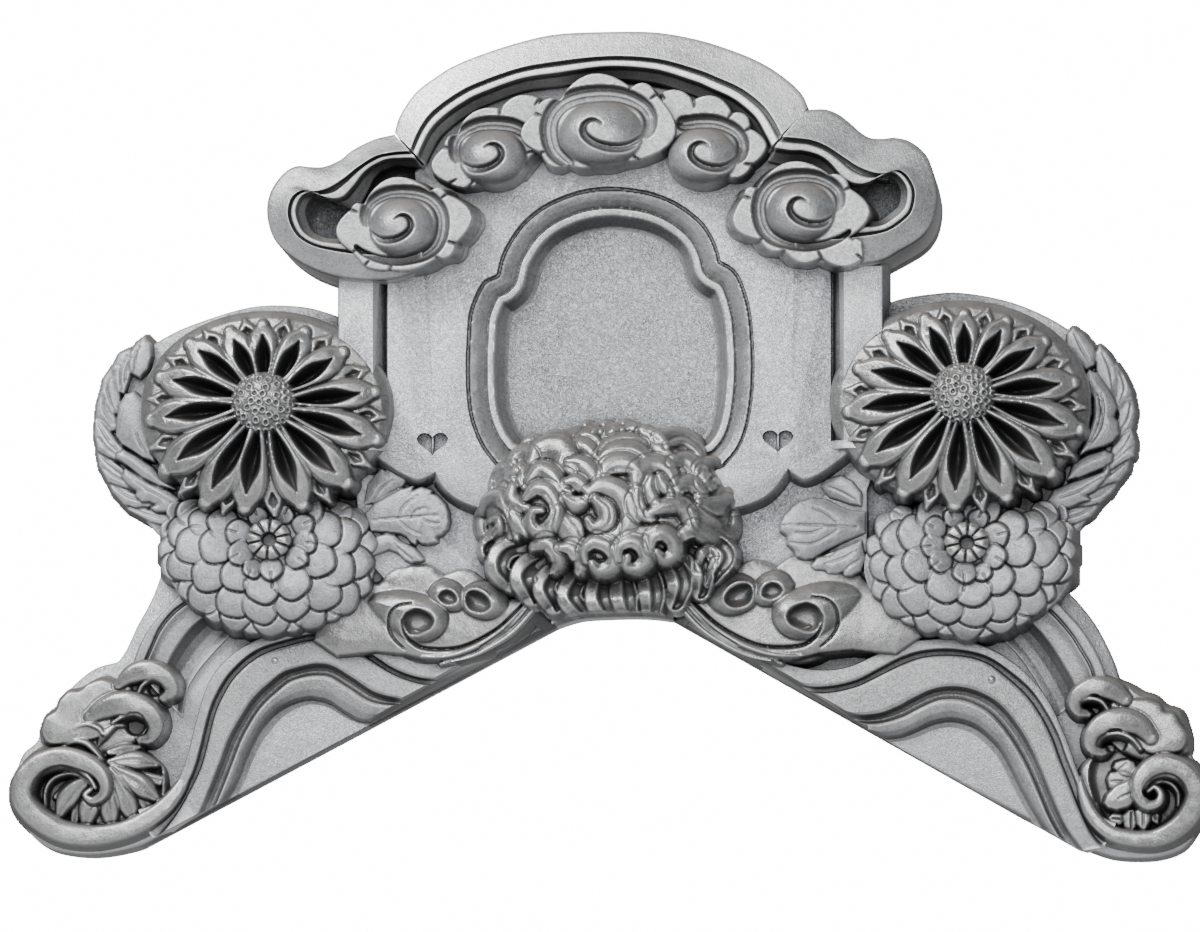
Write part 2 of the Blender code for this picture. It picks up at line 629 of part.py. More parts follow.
WAVE_PLATE_LEFT = [(-232, 18), (-216, 30), (-198, 36), (-174, 37), (-149, 31), (-126, 27),
                   (-106, 20), (-96, 6), (-98, -10), (-84, -4), (-70, 12), (-52, -4),
                   (-84, -30), (-120, -48), (-160, -60), (-200, -58), (-236, -34),
                   (-262, -20), (-262, 0)]
WAVE_PLATE_RIGHT = [(262, 8), (236, 26), (212, 34), (186, 42), (158, 38), (138, 28),
                    (120, 10), (114, -8), (104, 0), (92, 12), (70, -2), (104, -28),
                    (140, -48), (178, -64), (216, -70), (250, -60), (280, -40), (290, -16)]
FOOT_PLATE_LEFT = [(-482, -76), (-506, -77), (-520, -82), (-524, -88), (-541, -91),
                   (-549, -102), (-561, -112), (-566, -128), (-561, -140), (-500, -150),
                   (-462, -130), (-452, -96), (-466, -80)]
FOOT_PLATE_RIGHT = [(500, -80), (514, -84), (534, -98), (556, -106), (571, -118),
                    (579, -140), (574, -156), (520, -160), (482, -140), (474, -108),
                    (484, -88)]

CURLS = [
    # name, eye, outer radius, start angle, turns, depth, thickness
    ("wave_big_left", (-185, -21), 23, 2.6, -1.1, 118, 8),
    ("wave_middle_left", (-156, 0), 12, 2.6, -1.0, 116, 6),
    ("wave_outer_left", (-122, -4), 20, 2.4, -0.95, 116, 8),
    ("wave_big_right", (197, -20), 26, 0.5, 1.1, 118, 9),
    ("wave_middle_right", (165, 5), 13, 0.5, 1.0, 116, 6),
    ("wave_outer_right", (137, 2), 18, 0.6, 0.95, 116, 8),
    ("foot_upper_left", (-449, -87), 17, 2.8, -1.05, 100, 9),
    ("foot_middle_left", (-470, -122), 24, 2.8, -0.9, 106, 10),
    ("foot_scroll_left", (-522, -188), 38, 3.0, -1.15, 104, 12),
    ("foot_upper_right", (484, -106), 18, 0.4, 1.05, 100, 9),
    ("foot_middle_right", (508, -142), 24, 0.4, 0.9, 106, 10),
    ("foot_scroll_right", (552, -192), 28, 0.3, 1.15, 104, 13),
]

LEAVES = [
    # name, spine, width, depth, rise
    ("leaf_outer_left", [(-452, 98), (-490, 120), (-500, 170), (-494, 215), (-461, 266)],
     44, 88, 10),
    ("leaf_inner_left", [(-432, 108), (-466, 134), (-474, 170), (-472, 212)], 34, 96, 9),
    ("leaf_low_left", [(-420, 92), (-452, 92), (-482, 108), (-504, 140)], 34, 92, 9),
    ("leaf_outer_right", [(462, 98), (502, 120), (520, 170), (512, 220), (472, 266)],
     44, 88, 10),
    ("leaf_inner_right", [(446, 108), (480, 134), (492, 172), (488, 214)], 34, 96, 9),
    ("leaf_low_right", [(434, 90), (470, 92), (500, 108), (522, 138)], 34, 92, 9),
    ("leaf_front_left", [(-240, 76), (-200, 84), (-176, 86), (-154, 88)], 56, 112, 10),
    ("leaf_upper_left", [(-236, 90), (-222, 110), (-200, 124)], 36, 116, 8),
    ("leaf_lower_left", [(-238, 68), (-212, 56), (-180, 40)], 34, 114, 8),
    ("leaf_front_right", [(260, 70), (216, 78), (196, 80), (174, 84)], 58, 112, 10),
    ("leaf_upper_right", [(254, 86), (240, 108), (218, 122)], 38, 116, 8),
    ("leaf_lower_right", [(258, 60), (238, 46), (212, 28)], 38, 114, 8),
]
# direction in degrees, length, width
FOOT_PETALS_LEFT = [(6, 50, 14), (-22, 56, 16), (-48, 58, 15), (-76, 52, 14), (-104, 50, 14),
                    (-134, 50, 15)]
FOOT_HEART_LEFT = (-498, -168)
FOOT_PETAL_START = 14.0
FOOT_PETAL_RISE = 7.0


def ornaments():
    """Every raised work on the slab, as closed bodies that reach back into it."""
    bodies = [
        prism("head", head_outline(), [(HEAD_ROOT, 0), (LOW_GROUND, 0)]),
        prism("upper_ground", upper_ground(), [(RELIEF_ROOT, 0), (GROUND, 0)]),
        shoulder("shoulder_left", SHOULDER_LEFT, [(-330, 10), (-240, 60), (-240, 250)]),
        shoulder("shoulder_right", SHOULDER_RIGHT, [(330, 10), (250, 60), (255, 250)]),
        hood("hood_left", CROWN_LEFT, HOOD_INNER_LEFT, 8, 0.0, HOOD_SECTION),
        hood("hood_right", CROWN_RIGHT, HOOD_INNER_RIGHT, 8, 1.3, HOOD_SECTION),
        hood("ear_left", EAR_LEFT, EAR_INNER_LEFT, 11, 2.6, EAR_SECTION),
        hood("ear_right", EAR_RIGHT, EAR_INNER_RIGHT, 11, 3.9, EAR_SECTION),
        pillar("pillar_left", -265, -232, -217),
        pillar("pillar_right", 279, 241, 228),
    ]
    bodies += [cloud(*row) for row in CLOUDS]
    bodies += [
        daisy("daisy_left", (-336, 192), (126, 101), DAISY_BASE),
        button("daisy_button_left", (-336, 193), (33, 31), DAISY_BASE + BUTTON_RISE, 26, 12),
        daisy("daisy_right", (356, 196), (132, 104), DAISY_BASE),
        button("daisy_button_right", (361, 198), (33, 31), DAISY_BASE + BUTTON_RISE, 26, 12),
        zinnia("zinnia_left", (-336, 40), (110, 76), ZINNIA_BASE),
        button("zinnia_button_left", (-335, 56), (23, 20), ZINNIA_BASE + 26, 15, 9),
        zinnia("zinnia_right", (358, 36), (106, 78), ZINNIA_BASE),
        button("zinnia_button_right", (362, 52), (23, 20), ZINNIA_BASE + 26, 15, 9),
        middle_flower(),
        bands("leg_left", LEG_BANDS_LEFT, 12, ROOT - 10),
        bands("leg_right", LEG_BANDS_RIGHT, 12, ROOT - 10),
        bands("leg_strips_left", LEG_STRIPS_LEFT, 4, ROOT - 6),
        bands("leg_strips_right", LEG_STRIPS_RIGHT, 4, ROOT - 6),
        prism("wave_plate_left", WAVE_PLATE_LEFT, [(ROOT, 0), (PLATE_FRONT, 0)]),
        prism("wave_plate_right", WAVE_PLATE_RIGHT, [(ROOT, 0), (PLATE_FRONT, 0)]),
        prism("foot_plate_left", FOOT_PLATE_LEFT, [(ROOT, 0), (FOOT_PLATE_FRONT, 0)]),
        prism("foot_plate_right", FOOT_PLATE_RIGHT, [(ROOT, 0), (FOOT_PLATE_FRONT, 0)]),
    ]
    bodies += [curl(*row) for row in CURLS]
    bodies += [leaf(*row) for row in LEAVES]
    for k, (degrees, length, width) in enumerate(FOOT_PETALS_LEFT):
        angle = degrees * pi / 180
        spine = [polar(FOOT_HEART_LEFT, angle, radius, 0)[:2]
                 for radius in (FOOT_PETAL_START, length * 0.6, length)]
        bodies.append(leaf("foot_petal_%d" % k, spine, width, PETAL_DEPTH, FOOT_PETAL_RISE, 3))
    return bodies


def pillar(name, outer, front, inner):
    """A flat pillar at the side of the head, stepped down on its inner side."""
    top, bottom = PILLAR_SPAN
    outline = [(outer, top), (outer, bottom), (inner, bottom), (inner, top)]
    step = [(outer, top), (outer, bottom), (front, bottom), (front, top)]
    return skin(name, [[(x, z, PILLAR_ROOT) for x, z in outline],
                       [(x, z, PILLAR_STEP) for x, z in outline],
                       [(x, z, PILLAR_FRONT) for x, z in step]])


def cutters():
    """The sunk panel, the hearts, the V below and the hollows of the back."""
    v_outline = [NOTCH_FAR_LEFT] + NOTCH_TOP + [NOTCH_FAR_RIGHT]
    v_outline += [(NOTCH_FAR_RIGHT[0], NOTCH_BELOW), (NOTCH_FAR_LEFT[0], NOTCH_BELOW)]
    tie_hole = [[(x, TIE_HOLE_HEIGHT + TIE_HOLE_RADIUS * cos(2 * pi * k / TIE_HOLE_SIDES),
                  POCKET_DEPTH / 2 + TIE_HOLE_RADIUS * sin(2 * pi * k / TIE_HOLE_SIDES))
                 for k in range(TIE_HOLE_SIDES)]
                for x in (-RIB_HALF - TIE_HOLE_PAST, RIB_HALF + TIE_HOLE_PAST)]
    cuts = [panel_cutter(), heart_cutter("heart_left", (-172, 157)),
            heart_cutter("heart_right", (174, 158)),
            prism("notch", v_outline, [(CUTTER_BACK, 0), (CUTTER_FRONT, 0)]),
            skin("tie_hole", tie_hole)]
    for side, word in ((-1, "left"), (1, "right")):
        cuts.append(hollow_cutter("back_hollow_" + word, pocket(*BACK_HOLLOW, side)))
        cuts.append(hollow_cutter("side_hollow_" + word, pocket(*SIDE_HOLLOW, side)))
    return cuts


def clay():
    """Smoked silver-grey fired clay."""
    material = bpy.data.materials.new("smoked_clay")
    material.use_nodes = True
    shader = material.node_tree.nodes["Principled BSDF"]
    shader.inputs["Base Color"].default_value = (0.30, 0.31, 0.33, 1)
    shader.inputs["Roughness"].default_value = 0.5
    shader.inputs["Metallic"].default_value = 0.25
    return material


def combine(body, operation, bodies):
    """Joins the bodies to the tile, or cuts them out of it."""
    group = bpy.data.collections.new(operation.lower() + "_bodies")
    bpy.context.scene.collection.children.link(group)
    for item in bodies:
        helper(item, group)
    boolean = body.modifiers.new(operation.lower(), 'BOOLEAN')
    boolean.operation = operation
    boolean.solver = 'EXACT'
    boolean.operand_type = 'COLLECTION'
    boolean.collection = group


def main():
    for old in list(bpy.data.objects):
        bpy.data.objects.remove(old)
    tile = prism("roof_end_tile", silhouette(), SLAB_LEVELS)
    tile.data.materials.append(clay())
    combine(tile, 'UNION', ornaments())
    combine(tile, 'DIFFERENCE', cutters())


main()
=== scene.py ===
"""Roof end tile (onigawara), the looks: smoked silver-grey clay, carved by hand.

Each ornament is a carved surface: depths over a fine grid of (x, z), raised stroke by
stroke as a carver lays clay on, then closed into a solid.  The mouldings of the hood,
the legs and the sunk panel are swept between guide curves.  Lengths are millimetres in
the tile's own frame: x to the right, z up, and depth forward from the flat back.
"""
from math import cos, hypot, pi, radians, sin

import bpy
import bmesh
import numpy as np
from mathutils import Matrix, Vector


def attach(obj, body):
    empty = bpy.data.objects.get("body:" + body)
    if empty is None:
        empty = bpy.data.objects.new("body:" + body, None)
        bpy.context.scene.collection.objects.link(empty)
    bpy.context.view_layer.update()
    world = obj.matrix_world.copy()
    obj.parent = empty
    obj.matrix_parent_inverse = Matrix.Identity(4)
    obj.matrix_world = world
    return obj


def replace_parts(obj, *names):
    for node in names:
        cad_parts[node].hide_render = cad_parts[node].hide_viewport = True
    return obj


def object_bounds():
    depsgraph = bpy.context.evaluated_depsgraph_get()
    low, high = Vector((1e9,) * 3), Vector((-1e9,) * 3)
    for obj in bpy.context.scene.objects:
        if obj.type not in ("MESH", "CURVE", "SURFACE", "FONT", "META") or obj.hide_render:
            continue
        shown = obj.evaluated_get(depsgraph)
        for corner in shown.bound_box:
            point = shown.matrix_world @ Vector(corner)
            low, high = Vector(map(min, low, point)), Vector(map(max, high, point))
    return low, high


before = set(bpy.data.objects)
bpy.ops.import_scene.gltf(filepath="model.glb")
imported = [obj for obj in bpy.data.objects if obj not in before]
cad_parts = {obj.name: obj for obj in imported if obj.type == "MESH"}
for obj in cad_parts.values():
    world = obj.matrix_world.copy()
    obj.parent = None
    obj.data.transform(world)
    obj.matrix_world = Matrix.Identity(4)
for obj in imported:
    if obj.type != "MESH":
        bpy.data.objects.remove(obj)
CAD_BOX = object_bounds()
MM = 0.001
NODE = "roof_end_tile"
TINY = 1e-9         # keeps a division by a length from failing
CURVE_STEPS = 16    # pieces of a curve between two of its points, before it is evened out
ARC_STEPS = 10


# ---------------------------------------------------------------- curves in the plane
def smooth(points, steps):
    """A smooth curve through the points, cut into steps equal lengths."""
    dense = []
    last = len(points) - 1
    for i in range(last):
        p0, p1 = points[max(i - 1, 0)], points[i]
        p2, p3 = points[i + 1], points[min(i + 2, last)]
        for k in range(CURVE_STEPS):
            dense.append(tuple(hermite(p0[c], p1[c], p2[c], p3[c], k / CURVE_STEPS)
                               for c in range(len(p1))))
    dense.append(tuple(points[-1]))
    return even(dense, steps)


def hermite(a, b, c, d, t):
    """Catmull-Rom value between b and c."""
    return 0.5 * (2 * b + (c - a) * t + (2 * a - 5 * b + 4 * c - d) * t ** 2
                  + (3 * b - a - 3 * c + d) * t ** 3)


def even(points, steps):
    """The same polyline cut into steps pieces of equal length."""
    points = np.array(points, float)
    lengths = np.concatenate([[0], np.cumsum(np.hypot(*(points[1:, :2] - points[:-1, :2]).T))])
    at = np.linspace(0, lengths[-1], steps + 1)
    return [tuple(p) for p in np.stack([np.interp(at, lengths, points[:, c])
                                        for c in range(points.shape[1])], axis=1)]


def path_length(points):
    return sum(hypot(q[0] - p[0], q[1] - p[1]) for p, q in zip(points, points[1:]))


def shifted(outline, distance):
    """The closed outline moved to its left by a distance."""
    p = np.array(outline, float)[:, :2]
    d = np.roll(p, -1, 0) - np.roll(p, 1, 0)
    d /= np.maximum(np.hypot(d[:, 0], d[:, 1]), TINY)[:, None]
    return [tuple(q) for q in p + np.stack([-d[:, 1], d[:, 0]], axis=1) * distance]


def arcs(corners):
    """A closed outline of arcs: each corner is (x, z, bulge), and the arc from it to the
    next one swells to its right by bulge times the chord."""
    outline = []
    for (x0, z0, bulge), (x1, z1, _) in zip(corners, corners[1:] + corners[:1]):
        dx, dz = x1 - x0, z1 - z0
        for k in range(ARC_STEPS):
            t = k / ARC_STEPS
            swell = 4 * bulge * t * (1 - t)
            outline.append((x0 + dx * t + dz * swell, z0 + dz * t - dx * swell))
    return outline


# ---------------------------------------------------------------- meshes
def new_object(name, mesh):
    body = bpy.data.objects.new(name, mesh)
    bpy.context.scene.collection.objects.link(body)
    return body


def mesh_of(name, points, quads):
    """A mesh from an array of points (x, z, depth) and an array of quads."""
    mesh = bpy.data.meshes.new(name)
    places = np.stack([points[:, 0], -points[:, 2], points[:, 1]], axis=1) * MM
    mesh.vertices.add(len(places))
    mesh.vertices.foreach_set("co", places.astype(np.float32).ravel())
    mesh.loops.add(quads.size)
    mesh.loops.foreach_set("vertex_index", quads.astype(np.int32).ravel())
    mesh.polygons.add(len(quads))
    mesh.polygons.foreach_set("loop_start", np.arange(0, quads.size, 4, dtype=np.int32))
    mesh.update(calc_edges=True)
    return mesh


def skin(name, rings):
    """A closed body from rings of equally many (x, z, depth) points, capped at both ends."""
    rows = np.array(rings, float)
    count = rows.shape[1]
    mesh = bpy.data.meshes.new(name)
    work = bmesh.new()
    verts = [[work.verts.new((x * MM, -d * MM, z * MM)) for x, z, d in ring] for ring in rows]
    for lower, upper in zip(verts, verts[1:]):
        for i in range(count):
            j = (i + 1) % count
            work.faces.new((lower[i], lower[j], upper[j], upper[i]))
    caps = [work.faces.new(verts[0]), work.faces.new(verts[-1])]
    bmesh.ops.recalc_face_normals(work, faces=work.faces[:])
    bmesh.ops.triangulate(work, faces=caps)
    work.to_mesh(mesh)
    work.free()
    return new_object(name, mesh)


def prism(name, outline, levels):
    """A stack of one outline; a level is (depth, inset)."""
    return skin(name, [[(x, z, depth) for x, z in
                        (shifted(outline, inset) if inset else outline)]
                       for depth, inset in levels])


def plate_levels(root, top):
    """Levels of a plate whose front edge is rounded."""
    rounding = 1.6
    return [(root, 0.0), (top - rounding, 0.0), (top - rounding * 0.45, rounding * 0.12),
            (top - rounding * 0.12, rounding * 0.45), (top, rounding)]


def rounded(section, radius):
    """The same section with its corners rounded, points being rows (x, z, depth)."""
    parts, most = 3, 0.42      # pieces of a rounding, and the share of a side it may take
    p = np.array(section, float)
    result = [p[0]]
    for before, corner, after in zip(p[:-2], p[1:-1], p[2:]):
        back, ahead = before - corner, after - corner
        r0 = min(radius, most * np.linalg.norm(back))
        r1 = min(radius, most * np.linalg.norm(ahead))
        a = corner + back * (r0 / max(np.linalg.norm(back), TINY))
        b = corner + ahead * (r1 / max(np.linalg.norm(ahead), TINY))
        for k in range(parts + 1):
            t = k / parts
            result.append(a * (1 - t) ** 2 + corner * 2 * t * (1 - t) + b * t * t)
    result.append(p[-1])
    return result


def moulding(name, guides, section, steps, root, radius):
    """A band swept along guide curves.  A section point is (guide, depth): guide 1.5 is
    half way between the second and third curves."""
    curves = np.array([smooth(points, steps) for points in guides])
    rings = []
    for k in range(steps + 1):
        ring = []
        for at, depth in section:
            low = min(max(int(at), 0), len(guides) - 2)
            share = at - low
            x, z = curves[low, k] * (1 - share) + curves[low + 1, k] * share
            ring.append((x, z, depth))
        ring = [(ring[0][0], ring[0][1], root)] + ring + [(ring[-1][0], ring[-1][1], root)]
        rings.append(rounded(ring, radius))
    return skin(name, rings)


def combine(body, operation, others):
    """Joins closed bodies into one, or cuts them out of it."""
    group = bpy.data.collections.new("operands")
    for item in others:
        bpy.context.scene.collection.objects.unlink(item)
        group.objects.link(item)
    bpy.context.scene.collection.children.link(group)
    boolean = body.modifiers.new("boolean", 'BOOLEAN')
    boolean.operation = operation
    boolean.solver = 'MANIFOLD'
    boolean.operand_type = 'COLLECTION'
    boolean.collection = group
    apply_modifiers(body)
    for item in others:
        bpy.data.objects.remove(item)
    bpy.data.collections.remove(group)
    return body


def apply_modifiers(body):
    """Keeps the mesh that the modifiers make, and drops the modifiers."""
    graph = bpy.context.evaluated_depsgraph_get()
    mesh = bpy.data.meshes.new_from_object(body.evaluated_get(graph))
    body.modifiers.clear()
    body.data = mesh


def thin_out(body, ratio):
    """Fewer triangles where the surface is nearly flat."""
    fewer = body.modifiers.new("fewer", 'DECIMATE')
    fewer.ratio = ratio
    apply_modifiers(body)


# ---------------------------------------------------------------- carved surfaces
KEPT = 0.54         # share of a carving's triangles that is worth keeping
CLIFF = 9.0         # how fast the side of a stroke falls away, mm per mm
THINNEST = 0.05     # least half width of a stroke, mm
EDGE = 6            # how far beyond a stroke or a leaf its sides are worked out, mm
STROKE_CUT = 2.5    # length of the pieces of a stroke's path, mm
BACK = 4            # how far a carving's flat back lies behind its base, mm
LATTICE = 64        # rows of random values that a swell repeats after


def unevenness(x, z, size, seed):
    """A gentle random swell of a given size, between about -1 and 1."""
    lattice = np.random.default_rng(seed).uniform(-1, 1, (LATTICE, LATTICE))
    u, v = x / size + 31.7, z / size + 17.3
    i, j = np.floor(u).astype(int), np.floor(v).astype(int)
    fu, fv = u - i, v - j
    fu, fv = fu * fu * (3 - 2 * fu), fv * fv * (3 - 2 * fv)
    i, j, i1, j1 = (k % LATTICE for k in (i, j, i + 1, j + 1))
    return ((lattice[i, j] * (1 - fu) + lattice[i1, j] * fu) * (1 - fv)
            + (lattice[i, j1] * (1 - fu) + lattice[i1, j1] * fu) * fv)


def near(x, z, path):
    """Distance to a path, the side (+1 on its left) and the share of its length."""
    p = np.array(path, float)
    lengths = np.concatenate([[0], np.cumsum(np.hypot(*(p[1:, :2] - p[:-1, :2]).T))])
    best = np.full(x.shape, 1e9)
    side = np.ones(x.shape)
    along = np.zeros(x.shape)
    for k in range(len(p) - 1):
        ax, az = p[k, 0], p[k, 1]
        dx, dz = p[k + 1, 0] - ax, p[k + 1, 1] - az
        size = max(dx * dx + dz * dz, 1e-12)
        t = np.clip(((x - ax) * dx + (z - az) * dz) / size, 0, 1)
        ox, oz = x - ax - t * dx, z - az - t * dz
        gap = ox * ox + oz * oz
        closer = gap < best
        best = np.where(closer, gap, best)
        side = np.where(closer, np.where(dx * oz - dz * ox >= 0, 1.0, -1.0), side)
        along = np.where(closer, lengths[k] + t * (lengths[k + 1] - lengths[k]), along)
    return np.sqrt(best), side, along / max(lengths[-1], TINY)


def spread(values):
    return np.linspace(0, 1, len(values))


def blend(along, values):
    """Values spread along a path, read between one another on a smooth curve."""
    values = np.array(values, float)
    if len(values) < 3:
        return np.interp(along, spread(values), values)
    t = np.clip(along, 0, 1) * (len(values) - 1)
    k = np.clip(t.astype(int), 0, len(values) - 2)
    f = t - k
    row = np.concatenate([[2 * values[0] - values[1]], values, [2 * values[-1] - values[-2]]])
    a, b, c, d = (row[k + j] for j in range(4))
    return b + 0.5 * f * (c - a + f * (2 * a - 5 * b + 4 * c - d + f * (3 * (b - c) + d - a)))


def inside(x, z, outline):
    """Signed distance to a closed outline, positive inside."""
    ring = list(outline) + [outline[0]]
    gap, _, _ = near(x, z, ring)
    within = np.zeros(x.shape, bool)
    for (x0, z0), (x1, z1) in zip(ring, ring[1:]):
        if z0 == z1:
            continue
        crosses = ((z0 > z) != (z1 > z)) & (x < (x1 - x0) * (z - z0) / (z1 - z0) + x0)
        within ^= crosses
    return np.where(within, gap, -gap)


class Carving:
    """Depths over a grid of (x, z)."""

    def __init__(self, low, high, base, step=1.0, cliff=CLIFF):
        self.step, self.base, self.cliff = step, base, cliff
        self.x, self.z = np.meshgrid(np.arange(low[0], high[0] + step, step),
                                     np.arange(low[1], high[1] + step, step))
        self.depth = np.full(self.x.shape, float(base))

    def window(self, points, reach):
        """The part of the grid within reach of some points."""
        p = np.array(points, float)
        low, high = p.min(0) - reach, p.max(0) + reach
        c0, c1 = np.searchsorted(self.x[0], (low[0], high[0]))
        r0, r1 = np.searchsorted(self.z[:, 0], (low[1], high[1]))
        return slice(r0, r1), slice(c0, c1)

    def raise_to(self, part, value):
        self.depth[part] = np.maximum(self.depth[part], value)

    def beside(self, path, width, reach):
        """The part of the grid near a path, the distance to it, the side, the share of
        its length, the half width there and how far out of that half width a place is."""
        part = self.window(path, max(width) / 2 + reach)
        gap, side, along = near(self.x[part], self.z[part], path)
        half = np.maximum(blend(along, width), 0) / 2
        return part, gap, side, along, half, gap / np.maximum(half, THINNEST)

    def part_from(self, part, out, moat, middle, half):
        """Cuts the line that parts a shape from its neighbours, out being the distance
        beyond its edge."""
        ring = np.clip(1 - np.abs(out - middle) / half, 0, 1)
        self.depth[part] -= moat * ring * (self.depth[part] > self.base + moat)

    def stroke(self, path, width, top, section, dome=0.0, raw=False, moat=0.0):
        """Raises a band along a path.  width and top are spread along it; the section is
        how proud each place across it stands, dome how far its edges fall, and moat how
        deep the line is that parts it from its neighbours."""
        path = path if raw else smooth(path, max(6, int(path_length(path) / STROKE_CUT)))
        part, gap, side, along, half, out = self.beside(path, width, EDGE)
        across = np.clip(out, 0, 1) * side
        value = blend(along, top)
        value = value - dome * (1 - np.sqrt(np.clip(1 - across ** 2, 0, 1)))
        value = value + np.interp(across, *zip(*section))
        value = value - self.cliff * np.maximum(gap - half, 0)
        if moat:
            self.part_from(part, gap - half, moat, 0.8, 1.8)
        self.raise_to(part, value)

    def groove(self, path, width, deep, power=2.0):
        """Sinks a line along a path."""
        path = smooth(path, max(4, int(path_length(path) / STROKE_CUT)))
        part, _, _, _, _, out = self.beside(path, width, 1)
        self.depth[part] -= deep * np.clip(1 - out ** power, 0, 1)

    def channel(self, path, width, floor, section, outward=1):
        """Sinks a channel along a path down to a floor; its section runs from its inner
        side, -1, to its outer side, 1."""
        path = smooth(path, max(12, int(path_length(path) / 2)))
        part, gap, side, along, half, out = self.beside(path, width, EDGE)
        across = np.clip(out, 0, 1) * side * outward
        value = blend(along, floor)
        value = value + np.interp(across, *zip(*section))
        value = value + CLIFF * np.maximum(gap - half, 0)
        self.depth[part] = np.minimum(self.depth[part], value)

    def dome(self, centre, half, foot, rise, power=2.0, fullness=0.5):
        """Raises a round or oval boss."""
        part = self.window([centre], max(half) + 4)
        share = np.hypot((self.x[part] - centre[0]) / half[0],
                         (self.z[part] - centre[1]) / half[1])
        value = foot + rise * np.clip(1 - share ** power, 0, 1) ** fullness
        value = value - self.cliff * np.maximum(share - 1, 0) * min(half)
        self.raise_to(part, value)

    def plate(self, outline, top, rounding):
        """Raises a flat plate with a rounded edge."""
        part = self.window(outline, 4)
        gap = inside(self.x[part], self.z[part], outline)
        edge = np.clip(gap / rounding, 0, 1)
        value = top - rounding * (1 - np.sqrt(1 - (1 - edge) ** 2))
        self.raise_to(part, value - self.cliff * np.maximum(-gap, 0))

    def blade(self, outline, top, swell=2.0, tilt=(0, 0), veins=(), moat=0.9, edge=0.9, reach=6):
        """Raises a leaf with a swelling face, parted from what lies under it by a line,
        and cuts its veins.  tilt is its slope to the right and up."""
        part = self.window(outline, EDGE)
        x, z = self.x[part], self.z[part]
        gap = inside(x, z, outline)
        middle = np.mean(outline, axis=0)
        lip = np.clip(gap / edge, 0, 1)
        value = (top + tilt[0] * (x - middle[0]) + tilt[1] * (z - middle[1])
                 + swell * (1 - np.exp(-np.maximum(gap, 0) / reach))
                 - edge * (1 - np.sqrt(1 - (1 - lip) ** 2)))
        self.part_from(part, -gap, moat, 0.8, 1.5)
        self.raise_to(part, value - self.cliff * np.maximum(-gap, 0))
        for vein in veins:
            self.groove(vein, [1.2, 2.2, 1.2], 2.6, 1.4)

    def sink(self, outline, floor, slope):
        """Sinks a bowl whose side slopes over a width inside its outline."""
        side_height = 16
        loop = outline + outline[:1]
        ring = smooth(loop, int(path_length(loop) / 1.5))[:-1]
        part = self.window(ring, EDGE)
        gap = inside(self.x[part], self.z[part], ring)
        share = np.clip(gap / slope, 0, 1)
        bowl = (floor + (1 - np.sqrt(1 - (1 - share) ** 2)) * side_height
                + CLIFF * np.maximum(-gap, 0))
        self.depth[part] = np.minimum(self.depth[part], bowl)

    def pit(self, centre, radius, floor):
        """Sinks a round hole down to a floor."""
        part = self.window([centre], radius + 3)
        reach = np.hypot(self.x[part] - centre[0], self.z[part] - centre[1])
        self.depth[part] = np.minimum(self.depth[part],
                                      floor + CLIFF * np.maximum(reach - radius, 0))

    def roughen(self, seed):
        """The slight unevenness of hand work."""
        raised = self.depth > self.base + 1
        swell = 0.45 * unevenness(self.x, self.z, 21, seed)
        swell += 0.22 * unevenness(self.x, self.z, 7.3, seed + 1)
        self.depth += np.where(raised, swell, 0)

    def soften(self):
        """Takes the edge off every corner, as a damp brush does."""
        for axis in (0, 1):
            before, after = np.roll(self.depth, 1, axis), np.roll(self.depth, -1, axis)
            self.depth = 0.25 * before + 0.5 * self.depth + 0.25 * after

    def raised_cells(self):
        """The grid's cells that belong to the body, none of which meet at a corner only."""
        keep = self.depth > self.base + 0.6
        for axis in (0, 1):
            lower, upper = np.moveaxis(keep, axis, 0)[:-1], np.moveaxis(keep, axis, 0)[1:]
            grown = keep.copy()
            np.moveaxis(grown, axis, 0)[1:] |= lower
            np.moveaxis(grown, axis, 0)[:-1] |= upper
            keep = grown
        cell = keep[1:, 1:] & keep[:-1, 1:] & keep[1:, :-1] & keep[:-1, :-1]
        while True:
            a, b, c, d = cell[:-1, :-1], cell[:-1, 1:], cell[1:, :-1], cell[1:, 1:]
            pinch = (a & d & ~b & ~c) | (b & c & ~a & ~d)
            if not pinch.any():
                return cell
            for block in (a, b, c, d):
                block |= pinch

    def solid(self, name, seed, ratio=0.85, soft=True):
        """The carving as a closed body, down to a flat back behind its base."""
        if soft:
            self.soften()
        self.roughen(seed)
        for rim in (self.depth[:2], self.depth[-2:], self.depth[:, :2], self.depth[:, -2:]):
            rim[:] = self.base
        cell = self.raised_cells()
        rows, columns = np.nonzero(cell)
        wide = self.x.shape[1]
        corner = rows * wide + columns
        front = np.stack([corner, corner + 1, corner + wide + 1, corner + wide], axis=1)
        back_start = self.x.size
        quads = [front, front[:, ::-1] + back_start]
        for offset, pair in (((-1, 0), (1, 0)), ((1, 0), (3, 2)),
                             ((0, -1), (0, 3)), ((0, 1), (2, 1))):
            r, c = rows + offset[0], columns + offset[1]
            within = (r >= 0) & (r < cell.shape[0]) & (c >= 0) & (c < cell.shape[1])
            open_side = ~within
            open_side[within] = ~cell[r[within], c[within]]
            p, q = front[open_side, pair[0]], front[open_side, pair[1]]
            quads.append(np.stack([p, q, q + back_start, p + back_start], axis=1))
        quads = np.concatenate(quads)
        used, index = np.unique(quads, return_inverse=True)
        flat = np.stack([self.x.ravel(), self.z.ravel(), self.depth.ravel()], axis=1)
        back = flat.copy()
        back[:, 2] = self.base - BACK
        points = np.concatenate([flat, back])[used]
        body = new_object(name, mesh_of(name, points, index.reshape(quads.shape)))
        thin_out(body, ratio * KEPT)
        return body


